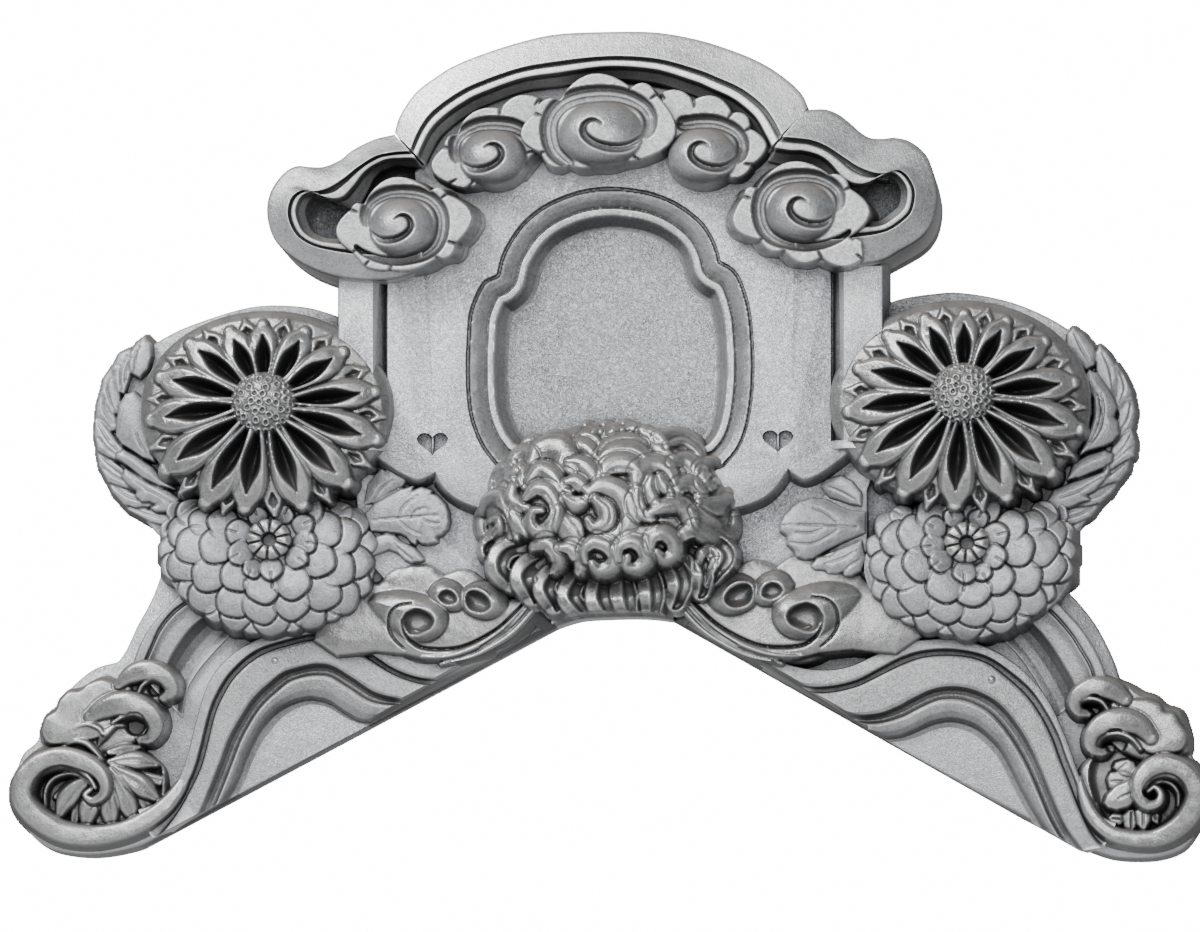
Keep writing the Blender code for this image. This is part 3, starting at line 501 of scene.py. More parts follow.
# ---------------------------------------------------------------- slab and hood
# depths of the plates that the ornaments lie on, and of the hood's lip
GROUND = 130.0
LOW_GROUND = 106.0
SHOULDER = 92.0
LEG_GROUND = 62.0
HOOD_LIP = 160.0
ROOT = 34.0         # where the plates begin, inside the slab
HIDDEN = 50.0       # the base of the flowers' carvings, and where the hood ends behind
IN_FRONT = 260      # beyond the foremost ornament

CROWN_LEFT = [(8, 567), (-45, 565), (-83, 557), (-121, 545), (-150, 533), (-169, 521), (-185, 509),
    (-196, 495), (-204, 481), (-208, 467)]
CROWN_RIGHT = [(8, 567), (55, 566), (98, 558), (137, 545), (163, 533), (181, 521), (194, 510), (202, 500),
    (206, 489)]
EAR_LEFT = [(-208, 465), (-229, 460), (-251, 449), (-262, 440), (-279, 433), (-294, 433), (-306, 434),
    (-319, 427), (-332, 409), (-336, 388), (-331, 365), (-319, 349), (-296, 333), (-267, 322), (-236, 318),
    (-205, 320), (-178, 330)]
EAR_RIGHT = [(203, 487), (222, 488), (236, 483), (248, 474), (258, 465), (268, 459), (281, 458), (292, 459),
    (306, 456), (319, 447), (328, 434), (335, 405), (333, 382), (326, 366), (315, 355), (298, 345),
    (279, 335), (250, 330), (220, 332), (192, 342)]
SHOULDER_LEFT = [(-267, 284), (-284, 290), (-304, 295), (-335, 297), (-364, 294), (-404, 282), (-438, 268),
    (-470, 246), (-492, 214), (-501, 178), (-498, 146), (-487, 118), (-468, 96), (-450, 74)]
SHOULDER_RIGHT = [(281, 295), (300, 301), (328, 305), (356, 306), (400, 298), (438, 283), (468, 264),
    (497, 236), (514, 206), (521, 174), (517, 142), (503, 112), (484, 90), (466, 70)]
LEG_LEFT = [(-445, 62), (-449, 42), (-456, 20), (-461, 8), (-467, -4), (-475, -18), (-481, -31),
    (-487, -44), (-494, -54)]
LEG_RIGHT = [(463, 62), (461, 42), (459, 18), (469, 6), (479, -6), (488, -18), (496, -32), (503, -46),
    (509, -60), (514, -76)]
FOOT_LEFT = [(-496, -55), (-517, -61), (-537, -76), (-553, -94), (-566, -111), (-573, -126), (-577, -136),
    (-590, -147), (-597, -165), (-600, -184), (-594, -206), (-584, -228), (-566, -243), (-545, -249),
    (-520, -251), (-494, -248), (-468, -241), (-446, -229)]
FOOT_RIGHT = [(516, -80), (535, -91), (558, -102), (573, -115), (581, -128), (585, -148), (590, -163),
    (597, -178), (600, -196), (597, -216), (590, -233), (577, -248), (556, -256), (531, -258), (506, -256),
    (484, -249), (468, -242)]
NOTCH_TOP = [(-52, -21), (-28, -14), (5, -12), (38, -12), (64, -15)]
NOTCH_FAR_LEFT = (-530, -273.3)      # the slopes of the V, run on beyond the feet
NOTCH_FAR_RIGHT = (560, -297.4)
HOOD_INNER_LEFT = [(8, 541), (-44, 536), (-84, 529), (-124, 515), (-144, 505), (-164, 491), (-176, 479),
    (-185, 464), (-191, 449)]
HOOD_INNER_RIGHT = [(8, 541), (56, 538), (96, 527), (116, 519), (136, 510), (151, 500), (164, 488),
    (174, 473), (180, 461)]
EAR_INNER_LEFT = [(-192, 447), (-208, 446), (-226, 442), (-244, 431), (-259, 419), (-274, 410), (-288, 407),
    (-300, 408), (-310, 401), (-314, 387), (-311, 373), (-303, 361), (-288, 352), (-268, 347), (-247, 344),
    (-222, 343), (-200, 345), (-180, 350)]
EAR_INNER_RIGHT = [(181, 459), (201, 457), (212, 455), (226, 449), (241, 439), (256, 429), (271, 423),
    (283, 422), (296, 425), (305, 420), (312, 408), (313, 396), (309, 382), (299, 372), (286, 364),
    (270, 360), (252, 358), (232, 356), (212, 357), (194, 362)]
PANEL_ARCH = [(-108, 328), (-103, 347), (-94, 364), (-82, 380), (-64, 395), (-44, 405), (-22, 412),
    (6, 415), (36, 412), (58, 406), (78, 396), (97, 381), (108, 366), (114, 352), (117, 341)]
PANEL_LEFT = [(-109, 327), (-121, 321), (-129, 308), (-136, 288), (-138, 262), (-139, 235), (-138, 205),
    (-134, 180), (-124, 155), (-110, 136)]
PANEL_RIGHT = [(117, 340), (130, 332), (139, 318), (147, 290), (150, 260), (151, 230), (149, 200),
    (144, 172), (135, 150), (120, 132)]
NOTCH_BELOW = -400
NOTCH_OVERCUT = 20


def silhouette():
    """The outline of the back slab, from the crown down the left side and up the right."""
    left = (smooth(CROWN_LEFT, 40) + smooth(EAR_LEFT[:-3], 60) + smooth(SHOULDER_LEFT, 50)
            + smooth(LEG_LEFT, 20) + smooth(FOOT_LEFT, 60))
    right = (smooth(CROWN_RIGHT, 40)[1:] + smooth(EAR_RIGHT[:-3], 60) + smooth(SHOULDER_RIGHT, 50)
             + smooth(LEG_RIGHT, 20) + smooth(FOOT_RIGHT, 60))
    below = [(x, z - NOTCH_OVERCUT) for x, z in NOTCH_TOP]
    return left + below + list(reversed(right))


def head_outline():
    """The head inside the hood, down to the ground below the middle flower."""
    left = smooth([(8, 545), (-80, 533), (-150, 506), (-196, 452)], 20)
    left += [(-240, 430), (-300, 412), (-318, 385), (-300, 352), (-266, 328), (-264, 250),
             (-262, 150), (-250, 110)]
    right = smooth([(8, 545), (100, 530), (160, 500), (190, 466)], 20)[1:]
    right += [(235, 452), (300, 432), (318, 398), (305, 362), (280, 340), (279, 250),
              (276, 150), (262, 110)]
    foot = [(-246, 50), (-215, 16), (-150, -6), (-84, -14), (-60, -30), (0, -26), (70, -26),
            (96, -12), (150, -4), (228, 16), (262, 50)]
    return left + foot + list(reversed(right))


def upper_ground():
    """The upper ground plate, whose lower edge runs in two scallops to the flower."""
    left = [(-262, 323), (-262, 160)] + smooth([(-236, 150), (-218, 137), (-202, 127),
                                                (-186, 121), (-169, 128)], 20)
    left += smooth([(-169, 128), (-165, 119), (-156, 108), (-143, 99), (-122, 92),
                    (-90, 88)], 20)[1:]
    right = [(277, 330), (277, 160)] + smooth([(250, 150), (231, 136), (215, 125),
                                               (199, 120), (184, 130)], 20)
    right += smooth([(184, 130), (177, 119), (168, 108), (155, 99), (134, 92),
                     (100, 88)], 20)[1:]
    top_left = smooth([(8, 520), (-90, 508), (-150, 480), (-190, 430), (-262, 400)], 20)
    top_right = smooth([(8, 520), (100, 505), (160, 475), (195, 440), (277, 415)], 20)[1:]
    return top_left + left + list(reversed(top_right + right))


def notch():
    """The V below, as a cutter."""
    outline = [NOTCH_FAR_LEFT] + smooth(NOTCH_TOP, 24) + [NOTCH_FAR_RIGHT]
    outline += [(NOTCH_FAR_RIGHT[0], NOTCH_BELOW), (NOTCH_FAR_LEFT[0], NOTCH_BELOW)]
    return prism("notch", outline, [(-40, 0), (IN_FRONT, 0)])


def chamfers():
    """Cutters for the sloping lower edges, each beside the V from the middle outwards."""
    cuts = []
    for line in (((-54, -22, 32), (-112, -52, 17), (-250, -125, 12)),
                 ((68, -20, 32), (122, -48, 17), (262, -128, 12))):
        cuts.append(skin("chamfer", [[(x, z + up, 112), (x, z + up * 0.5, 88), (x, z - 6, 40),
                                      (x, z - 30, 36), (x, z - 30, 112)] for x, z, up in line]))
    return cuts


def heart_cutter(name, centre):
    """A boar's eye heart, notch above and point below, with a ridge down its middle."""
    rings = []
    for share, depth in ((1.0, 12), (1.0, -8), (0.97, -9), (0.5, -9.5), (0.14, -9.5),
                         (0.03, -5.5)):
        ring = []
        for k in range(60):
            t = 2 * pi * k / 60
            x = 15.6 * sin(t) ** 3 * share
            z = 13 * cos(t) - 5 * cos(2 * t) - 2 * cos(3 * t) - cos(4 * t)
            ring.append((centre[0] + x, centre[1] + (z + 2) * 0.8, GROUND + depth))
        rings.append(ring)
    return skin(name, rings)


def panel_outline():
    """Anticlockwise, with a cusp at each side below the arch."""
    bottom = smooth([(-110, 136), (-60, 112), (0, 104), (60, 110), (120, 132)], 30)[1:-1]
    return (list(reversed(smooth(PANEL_RIGHT, 50))) + list(reversed(smooth(PANEL_ARCH, 90)))[1:]
            + smooth(PANEL_LEFT, 50) + bottom)


# distance in from the panel's outline, and depth behind the ground
PANEL_SECTION = [(0.0, -6), (0.6, -9.5), (3.2, -10.0), (4.2, -5.0), (12.0, -9.5), (19.5, -16.0),
    (20.4, -16.2), (21.2, -12.0), (22.0, -11.6), (27.4, -12.0), (28.2, -13.6), (31.0, -30.0), (36.5, -41.0),
    (41.0, -43.5)]
PANEL_BASE = 78.0


def panel():
    """The moulding of the sunk panel: a cove and a fillet step down to its floor."""
    clay = Carving((-146, 98), (157, 420), PANEL_BASE)
    gap = inside(clay.x, clay.z, panel_outline())
    steps = GROUND + np.interp(gap, *np.array(PANEL_SECTION).T)
    width = PANEL_SECTION[-1][0]
    clay.depth = np.where((gap > -1.2) & (gap < width + 1), steps, PANEL_BASE)
    return clay.solid("panel_moulding", 170, ratio=0.5, soft=False)


def pocket(x_from, x_to, z_from, z_to, radius, side):
    """A rounded rectangle, anticlockwise, mirrored for the other side."""
    points = []
    corners = ((x_to - radius, z_from + radius, -pi / 2), (x_to - radius, z_to - radius, 0),
               (x_from + radius, z_to - radius, pi / 2), (x_from + radius, z_from + radius, pi))
    for x, z, start in corners:
        for k in range(13):
            angle = start + pi / 24 * k
            points.append((x + radius * cos(angle), z + radius * sin(angle)))
    return points if side > 0 else [(-x, z) for x, z in reversed(points)]


def pillar(name, outer, front, inner):
    """A flat pillar at the side of the head, bevelled on its inner side."""
    section = [(outer, ROOT), (outer, GROUND + 14), (outer + (front - outer) * 0.04, GROUND + 15),
               (front, GROUND + 15), (inner, GROUND + 1), (inner, ROOT)]
    return skin(name, [[(x, z, depth) for x, depth in section] for z in (150, 332)])


HOLLOW_LEVELS = [(-30, 0), (40, 3), (46, 9)]
SHOULDER_LEVELS = [
    (ROOT, -4),
    (SHOULDER - 4, -4),
    (SHOULDER - 1, -3),
    (SHOULDER, -1),
]


def slab():
    """The slab with its legs, the head, the shoulders and the pillars."""
    body = prism("slab", silhouette(), [(0, 0), (18, 0), (LEG_GROUND - 8, 1),
                                        (LEG_GROUND - 2, 1.5), (LEG_GROUND, 3.5)])
    parts = [prism("head", head_outline(), plate_levels(ROOT, LOW_GROUND)),
             prism("upper_ground", upper_ground(), [(ROOT, -7), (LOW_GROUND, -7),
                                                    (GROUND - 1.5, 0), (GROUND, 1.5)]),
             prism("shoulder_left", smooth(SHOULDER_LEFT, 70) + [(-330, 10), (-240, 60),
                                                                 (-240, 250)],
                   SHOULDER_LEVELS),
             prism("shoulder_right", list(reversed(smooth(SHOULDER_RIGHT, 70)
                                                   + [(330, 10), (250, 60), (255, 250)])),
                   SHOULDER_LEVELS)]
    parts += [pillar("pillar_left", -265, -231, -218), pillar("pillar_right", 279, 241, 228)]
    combine(body, 'UNION', parts)
    hole = [[(x, 390 + 9 * cos(2 * pi * k / 32), 23 + 9 * sin(2 * pi * k / 32))
             for k in range(32)] for x in (-29, 29)]
    floor = GROUND + PANEL_SECTION[-1][1] + 0.2
    cuts = [prism("panel_hole", panel_outline(), [(floor, 0), (GROUND + 30, 0)]),
            heart_cutter("heart_left", (-172, 157)), heart_cutter("heart_right", (174, 158)),
            notch(), skin("tie_hole", hole)] + chamfers()
    # a deep chamfer down the inner side of each pillar
    for front, inner in ((-231, -217), (241, 227)):
        wedge = [(front, GROUND + 20), (front, GROUND + 15),
                 (inner + (front - inner) * 0.15, GROUND - 12), (inner, GROUND - 12),
                 (inner, GROUND + 20)]
        cuts.append(skin("chamfer", [[(x, z, depth) for x, depth in wedge]
                                     for z in (158, 345)]))
    # the pockets of the ears are deep and dark
    for inner in (EAR_INNER_LEFT, EAR_INNER_RIGHT[::-1]):
        cuts.append(prism("ear_pocket", smooth(inner, 60), [(66, 0), (HOOD_LIP, 0)]))
    # the ground stops short under the big daisies, whose openings are dark
    for _, centre, half, *_ in DAISIES:
        seat = [(centre[0] + half[0] * 0.9 * cos(pi / 36 * k),
                 centre[1] + half[1] * 0.9 * sin(pi / 36 * k)) for k in range(72)]
        cuts.append(prism("daisy_seat", seat, [(100, 0), (IN_FRONT, 0)]))
    for side in (-1, 1):
        cuts.append(prism("back_hollow", pocket(17, 214, 34, 470, 40, side), HOLLOW_LEVELS))
        cuts.append(prism("side_hollow", pocket(244, 450, 70, 262, 50, side), HOLLOW_LEVELS))
    return combine(body, 'DIFFERENCE', cuts)


# how far across the fascia, and depth in front of the lip
HOOD_SECTION = [(0.0, 3), (0.03, 8), (0.1, 9.5), (0.55, 13.5), (0.94, 17.6), (1.0, 18), (1.015, 9),
    (1.11, 6), (1.13, 11.5), (1.17, 13), (1.37, 13), (1.4, 4), (1.42, -9), (1.74, -15), (1.77, -40)]


def hood(name, outer, inner, steps):
    """One length of the hood: fascia, groove, bead and cove between its two edges."""
    section = [(share, HOOD_LIP + proud) for share, proud in HOOD_SECTION]
    return moulding(name, [outer, inner], section, steps, HIDDEN, radius=1.6)


# ---------------------------------------------------------------- snail clouds
# The groove of a snail, from its tip outwards and clockwise, in shares of the snail's half
# sizes; it widens into the moat that parts the snail from its plate.
SNAIL_GROOVE = [(-0.19, 0.27), (-0.03, 0.38), (0.16, 0.37), (0.31, 0.2), (0.31, -0.07), (0.1, -0.32),
    (-0.26, -0.47), (-0.65, -0.45), (-1.0, -0.23), (-1.17, 0.1), (-1.17, 0.57), (-0.97, 0.93), (-0.52, 1.2),
    (-0.03, 1.27), (0.55, 1.2), (0.97, 0.97), (1.23, 0.57), (1.29, 0.07), (1.16, -0.5), (0.84, -0.87),
    (0.35, -1.08), (-0.19, -1.16), (-0.74, -1.07), (-1.19, -0.87), (-1.45, -0.67)]
LEANING = 9     # how many of the groove's points follow the lean of its tip
SNAIL_WIDTH = [1.5, 3.5, 5, 5.5, 6, 6.5, 7.5, 9, 10, 10.5, 11, 11.5, 12, 12, 12, 12, 12, 12, 11, 9, 7.5, 7,
    6, 5, 3]
# across the groove, from the snail's side to the plate's side
SNAIL_SECTION = [(-1, 1.5), (-0.8, 0), (-0.2, 0.4), (-0.05, 2.0), (0.1, 1.0), (0.45, 1.6), (0.55, 3.6),
    (0.7, 3.0), (0.86, 5.0), (1, 8)]


def cloud(name, centre, half, turn, lean, end, outline, depth, rise, seed):
    """A lobed plate carrying a snail.  turn is -1 where the snail winds clockwise
    outwards, lean moves its tip, and end says how many points its groove has."""
    xs = [p[0] for p in outline] + [centre[0] - half[0], centre[0] + half[0]]
    zs = [p[1] for p in outline] + [centre[1] - half[1], centre[1] + half[1]]
    clay = Carving((min(xs) - 30, min(zs) - 30), (max(xs) + 30, max(zs) + 30), ROOT + 40,
                   0.9, cliff=30)
    lobes = arcs(outline)
    toward = -np.sign(centre[0]) * min(9, abs(centre[0]) / 12)
    for share in (0.3, 0.6, 1.0):
        clay.plate([(x + toward * share, z) for x, z in lobes], depth - 6 - 24 * share, 3)
    clay.plate(lobes, depth, 2.2)
    for x, z, _ in outline:
        inward = np.array(centre) - (x, z)
        inward = inward / max(np.hypot(*inward), TINY)
        foot = np.array((x, z)) + inward * 8
        clay.groove([(x - inward[0] * 3, z - inward[1] * 3), tuple(foot)], [5, 1.5], 5)
    clay.dome(centre, (half[0] * 1.02, half[1] * 1.02), depth - 3, rise + 3, fullness=0.55,
              power=2.3)
    path = []
    for k, (u, v) in enumerate(SNAIL_GROOVE[:end]):
        fade = max(0.0, 1 - k / LEANING)
        path.append((centre[0] - turn * u * half[0] + lean[0] * fade,
                     centre[1] + v * half[1] + lean[1] * fade))
    floor = [depth + rise - sunk for sunk in (5, 11, 13, 14, 15, 17, 19)]
    floor += [depth - 6] + [depth - 14] * 17
    clay.channel(path, [w * half[0] / 31 for w in SNAIL_WIDTH[:end]], floor[:end],
                 SNAIL_SECTION, -turn)
    return clay.solid(name, seed)


CLOUDS = [
    # name, centre, half sizes, turn, lean of the tip, groove points, outline, depth, rise
    ("cloud_left", (-199, 369), (31.5, 29), -1, (0, 0), 25, [(-171, 407, 0.3), (-238, 394, 0.25),
     (-251, 388, 0.36), (-249, 345, 0.0), (-237, 331, 0.08), (-211, 327, 0.12), (-164, 339, 0.3),
     (-145, 353, 0.42), (-154, 403, 0.28)], 186, 20),
    ("cloud_small_left", (-108, 439), (33, 28), -1, (-2, 2), 16, [(-61, 499, 0.2), (-101, 490, 0.2),
     (-145, 465, 0.2), (-158, 451, 0.42), (-152, 414, 0.1), (-133, 410, 0.0), (-86, 421, 0.0),
     (-66, 446, 0.0)], 180, 22),
    ("cloud_middle", (1, 461), (41, 32.5), 1, (-7, 1), 20, [(30, 509, 0.27), (-41, 498, 0.22),
     (-67, 483, 0.42), (-60, 443, 0.3), (-32, 432, 0.12), (-9, 428, 0.0), (39, 435, 0.42), (56, 501, 0.3)],
     192, 20),
    ("cloud_small_right", (101, 439), (34, 28.5), 1, (1, 2), 15, [(131, 484, 0.25), (92, 497, 0.2),
     (59, 504, 0.0), (71, 446, 0.0), (127, 418, 0.2), (151, 431, 0.42), (149, 468, 0.3)], 180, 22),
    ("cloud_right", (200, 382), (33, 29.5), 1, (0, 2), 25, [(228, 421, 0.27), (156, 408, 0.3),
     (142, 399, 0.42), (159, 355, 0.25), (183, 345, 0.25), (220, 337, 0.2), (262, 335, 0.0),
     (261, 355, 0.0), (249, 358, 0.42), (248, 407, 0.25)], 186, 20),
]


# ---------------------------------------------------------------- big daisies
DAISY_BASE = 116.0
# each petal: where its opening ends, and how wide it is
DAISY_PETALS_LEFT = [
    [(-341, 273), (-300, 266), (-263, 246), (-232, 207), (-230, 161), (-259, 119), (-302, 98), (-358, 95),
     (-396, 101), (-435, 133), (-449, 181), (-440, 222), (-412, 255), (-373, 267)],
    [26, 27, 28, 27, 31, 34, 33, 33, 33, 34, 32, 31, 28, 26],
]
DAISY_PETALS_RIGHT = [
    [(361, 280), (402, 273), (439, 253), (467, 213), (472, 168), (445, 126), (402, 103), (352, 95),
     (302, 108), (265, 138), (249, 186), (259, 228), (287, 260), (323, 276)],
    [26, 26, 28, 30, 32, 34, 33, 33, 33, 33, 31, 29, 27, 26],
]
# share of the way out from the middle, and how high the drum stands there
DAISY_DRUM = [(0, 30), (0.3, 32), (0.62, 32), (0.8, 31), (0.9, 28), (0.96, 23), (0.99, 16), (1.0, 4)]
# widths along a petal and its hollow, in shares of the petal's width
DAISY_TAPER = (0.5, 0.72, 0.92, 1.08, 1.12, 0.98, 0.46)
DAISY_SLOT_TAPER = (0.16, 0.28, 0.38, 0.44, 0.43, 0.32)
BUTTON_HALF = (33, 31)
DAISY_PETAL_SECTION = [(-1, -4), (-0.93, -2.6), (-0.86, -2.3), (-0.8, -0.5), (-0.72, 0), (0, 0), (0.72, 0),
    (0.8, -0.5), (0.86, -2.3), (0.93, -2.6), (1, -4)]


def daisy(name, centre, half, hub, petals, seed):
    """Fourteen hollow petals round a button, on a drum, with small petals between."""
    clay = Carving((centre[0] - half[0] - 9, centre[1] - half[1] - 9),
                   (centre[0] + half[0] + 9, centre[1] + half[1] + 9), ROOT + 20)

    def heights(*values):
        return [DAISY_BASE + value for value in values]

    share = np.hypot((clay.x - centre[0]) / half[0], (clay.z - centre[1]) / half[1])
    drum = np.interp(share, *zip(*DAISY_DRUM)) + DAISY_BASE
    clay.depth = np.where(share < 1, drum, clay.base)
    hub = np.array(hub)
    tips, widths = petals
    tips = [np.array(t) for t in tips]
    for k, (tip, width) in enumerate(zip(tips, widths)):
        after = tips[(k + 1) % len(tips)]
        # the small petal behind this one and the next
        between = (tip + after) / 2 - hub
        between = between / np.hypot(*between)
        reach = 0.5 * (np.hypot(*(tip - hub)) + np.hypot(*(after - hub)))
        small = [hub + between * r for r in (30, reach * 0.6, reach * 0.9, reach + 9)]
        clay.stroke(small, [3, 8, 22, 22, 4], heights(47, 44, 39, 31),
                    [(-1, -2), (-0.8, 0), (0, 0.5), (0.8, 0), (1, -2)])
        cell = [hub + between * r for r in (reach * 0.88, reach + 4)]
        clay.channel(cell, [3, 9, 1], heights(29, 28, 33), [(-1, 5), (0, 0), (1, 5)])
    for tip, width in zip(tips, widths):
        ray = tip - hub
        path = [hub + ray * s for s in (0.22, 0.5, 0.78, 1.02)]
        clay.stroke(path, [8] + [width * taper for taper in DAISY_TAPER],
                    heights(56, 54, 51, 47, 40), DAISY_PETAL_SECTION, moat=1.5)
    for tip, width in zip(tips, widths):
        ray = tip - hub
        slot = [hub + ray * s for s in (0.26, 0.5, 0.75, 0.91)]
        clay.channel(slot, [2] + [width * taper for taper in DAISY_SLOT_TAPER] + [2],
                     heights(24, 14, 10, 14, 28, 40),
                     [(-1, 14), (-0.5, 2), (0, 0), (0.3, 6), (1, 26)])
    return clay.solid(name, seed, ratio=0.7)


def daisy_button(name, hub, seed):
    """The button, covered with small rings of clay."""
    clay = Carving((hub[0] - 38, hub[1] - 36), (hub[0] + 38, hub[1] + 36), DAISY_BASE + 10, 0.6)
    clay.dome(hub, BUTTON_HALF, DAISY_BASE + 46, 21)
    random = np.random.default_rng(seed + 5)
    placed = []
    tries = 4000
    for _ in range(tries):
        spot = np.array(hub) + random.uniform(-31, 31, 2)
        reach = np.hypot((spot[0] - hub[0]) / BUTTON_HALF[0], (spot[1] - hub[1]) / BUTTON_HALF[1])
        size = 4.3 if reach < 0.8 else 3.4
        if reach < 0.97 and all(np.hypot(*(spot - other)) > size + gap - 1.4
                                for other, gap in placed):
            placed.append((spot, size))
    for spot, size in placed:
        part = clay.window([spot], 5)
        gap = np.hypot(clay.x[part] - spot[0], clay.z[part] - spot[1])
        clay.depth[part] += 2.4 * np.exp(-((gap - size * 0.7) / (size * 0.26)) ** 2)
        clay.depth[part] -= 1.2 * np.exp(-(gap / (size * 0.4)) ** 2)
    return clay.solid(name + "_button", seed, ratio=0.6)


DAISIES = [
    ("daisy_left", (-338, 192), (129, 101), (-339, 196), DAISY_PETALS_LEFT, 100),
    ("daisy_right", (356, 196), (132, 104), (360, 202), DAISY_PETALS_RIGHT, 120),
]


# ---------------------------------------------------------------- zinnias
ZINNIA_HALF = (116, 80)     # of the dome that the scales lie on
ZINNIA_EDGE = (108, 70)     # of what is left of it
ZINNIA_LOW = 22             # how far its middle lies below the button
ZINNIA_RISE = 34
HOLE = 7.5
# round scales, ring by ring from the outermost: (x, z, radius) about the button
ZINNIA_RINGS = [
    [(-98, 11, 12), (-102, -7, 10), (-97, -25, 12), (-82, -48, 9), (-54, -70, 10), (-18, -83, 9),
     (21, -81, 9), (60, -70, 9), (94, -2, 11), (89, -44, 10), (-95, 31, 9), (70, 28, 10)],
    [(-87, 10, 15), (-85, -23, 16), (-65, -56, 15), (-34, -74, 14), (1, -78, 16), (39, -72, 15),
     (71, -56, 16), (85, -22, 15), (82, 18, 14), (-81, 30, 12)],
    [(-60, -34, 16), (-35, -60, 16), (-8, -66, 16), (22, -62, 16), (52, -52, 17), (66, -28, 17),
     (72, 4, 16), (-67, 18, 13), (-76, -5, 17)],
    [(-52, -6, 16), (-31, -35, 15), (-6, -46, 16), (23, -42, 16), (48, -20, 16), (53, 10, 17),
     (-47, 18, 13), (-20, 34, 13), (10, 36, 13), (38, 30, 13)],
    [(-30, 7, 11), (-28, -14, 10.5), (-16, -29, 7.5), (2, -29, 9.5), (27, -18, 9.5), (35, -3, 10),
     (33, 15, 9), (-12, 24, 8), (14, 25, 8)],
]


def zinnia(name, button, flip, base, seed):
    """Rings of round scales that lie over one another."""
    clay = Carving((button[0] - 125, button[1] - 108), (button[0] + 125, button[1] + 62),
                   HIDDEN, 0.8)

    def reach(x, z, half):
        return np.hypot((x - button[0]) / half[0], (z - button[1] + ZINNIA_LOW) / half[1])

    def dome(x, z):
        return base + ZINNIA_RISE * np.clip(1 - reach(x, z, ZINNIA_HALF) ** 2.2, 0, 1) ** 0.8

    share = reach(clay.x, clay.z, ZINNIA_EDGE)
    clay.depth = np.where(share < 0.97, dome(clay.x, clay.z) - 3, clay.base)
    for level, ring in enumerate(ZINNIA_RINGS):
        for k, (x, z, radius) in enumerate(ring):
            radius = radius + 1.6
            spot = (button[0] + x * flip, button[1] + z)
            part = clay.window([spot], radius + 5)
            dx, dz = clay.x[part] - spot[0], clay.z[part] - spot[1]
            angle = np.arctan2(dz, dx)
            wobble = 1 + 0.03 * np.sin(3 * angle + seed + k * 1.7) + 0.02 * np.sin(5 * angle + k)
            gap = np.hypot(dx, dz) / (radius * wobble)
            far = hypot(x, z + 10)
            outward = (dx * x * flip + dz * (z + 10)) / max(far, 1) / radius
            value = (dome(clay.x[part], clay.z[part]) + 4.0 + 6.0 * outward
                     - 1.6 * np.clip(gap, 0, 1) ** 9 + 0.8 * np.sin(k * 2.3) + 0.7 * level)
            line = np.clip(1 - np.abs(gap * radius - radius - 0.9) / 1.6, 0, 1)
            line = line * np.clip(outward + 0.45, 0, 1)
            clay.depth[part] -= 4.0 * line * (clay.depth[part] > clay.base + 5)
            clay.raise_to(part, value - CLIFF * np.maximum(gap - 1, 0) * radius)
            # a crease in the smallest scales
            if radius < 13 and level == len(ZINNIA_RINGS) - 1:
                away = np.array((x * flip, z)) / max(far, 1)
                clay.groove([np.array(spot) + away * radius * 0.2,
                             np.array(spot) + away * radius * 1.1], [2.5, 3.5], 2.2)
    return clay.solid(name, seed, ratio=0.7)


def zinnia_button(name, button, base, seed):
    """The ribbed button with its hole."""
    clay = Carving((button[0] - 30, button[1] - 30), (button[0] + 30, button[1] + 30),
                   base + 10, 0.6)
    ribs = 10
    dx, dz = clay.x - button[0], (clay.z - button[1]) * 1.08
    reach = np.hypot(dx, dz)
    angle = np.arctan2(dz, dx) * ribs / 2 + 0.4
    lobe = np.abs(np.cos(angle))
    rim = 22 * (0.9 + 0.1 * lobe ** 0.5)
    value = base + 37 + 8 * np.sqrt(np.clip(1 - ((reach - 14) / 10) ** 2, 0, 1))
    value = value - 5 * np.exp(-(np.cos(angle) / 0.3) ** 2) * (reach > 8)
    value = np.where(reach < HOLE, base + 26 + 10 * (reach / HOLE) ** 6, value)
    clay.raise_to(slice(None), value - CLIFF * np.maximum(reach - rim, 0))
    return clay.solid(name + "_button", seed, ratio=0.7)


ZINNIAS = [
    ("zinnia_left", (-335, 61), 1, 104, 140),
    ("zinnia_right", (363, 55), -0.94, 104, 150),
]


# ---------------------------------------------------------------- middle flower
MUM_CENTRE = (4, 86)
MUM_HALF = (127, 98)
MUM_BASE = 118.0
MUM_RISE = 66.0
FRINGE_FLOOR = 138      # depth of what lies under the fringe
FRINGE_TOP = 58         # z below which the fringe hangs
FRINGE_DEPTHS = [138, 145, 151, 155, 158, 156, 147]     # along a petal of the fringe
FRINGE_WIDER, PETAL_WIDER = 1.18, 1.36      # so that neighbours meet

# across a petal, from the right of its path to the left: how proud each place stands
PLUMP = [(-1, -10), (-0.9, -5.5), (-0.7, -2.2), (-0.4, -0.3), (0, 0.5), (0.4, -0.3), (0.7, -2.2),
    (0.9, -5.5), (1, -10)]
SCOOP = [(-1, -9), (-0.9, -3.6), (-0.76, -1.0), (-0.6, -0.6), (-0.48, -0.8), (-0.2, 0.6), (0.2, 0.3),
    (0.6, -2.2), (0.88, -6), (1, -10)]
SCOOP_LEFT = [(-across, proud) for across, proud in reversed(SCOOP)]
TROUGH = [(-1, -7), (-0.92, -2.4), (-0.2, 0.6), (-0.08, 0.4), (0, -2), (0.08, -9), (0.3, -11), (0.66, -10),
    (0.8, -5), (0.86, -1.2), (0.94, -1.4), (1, -7)]

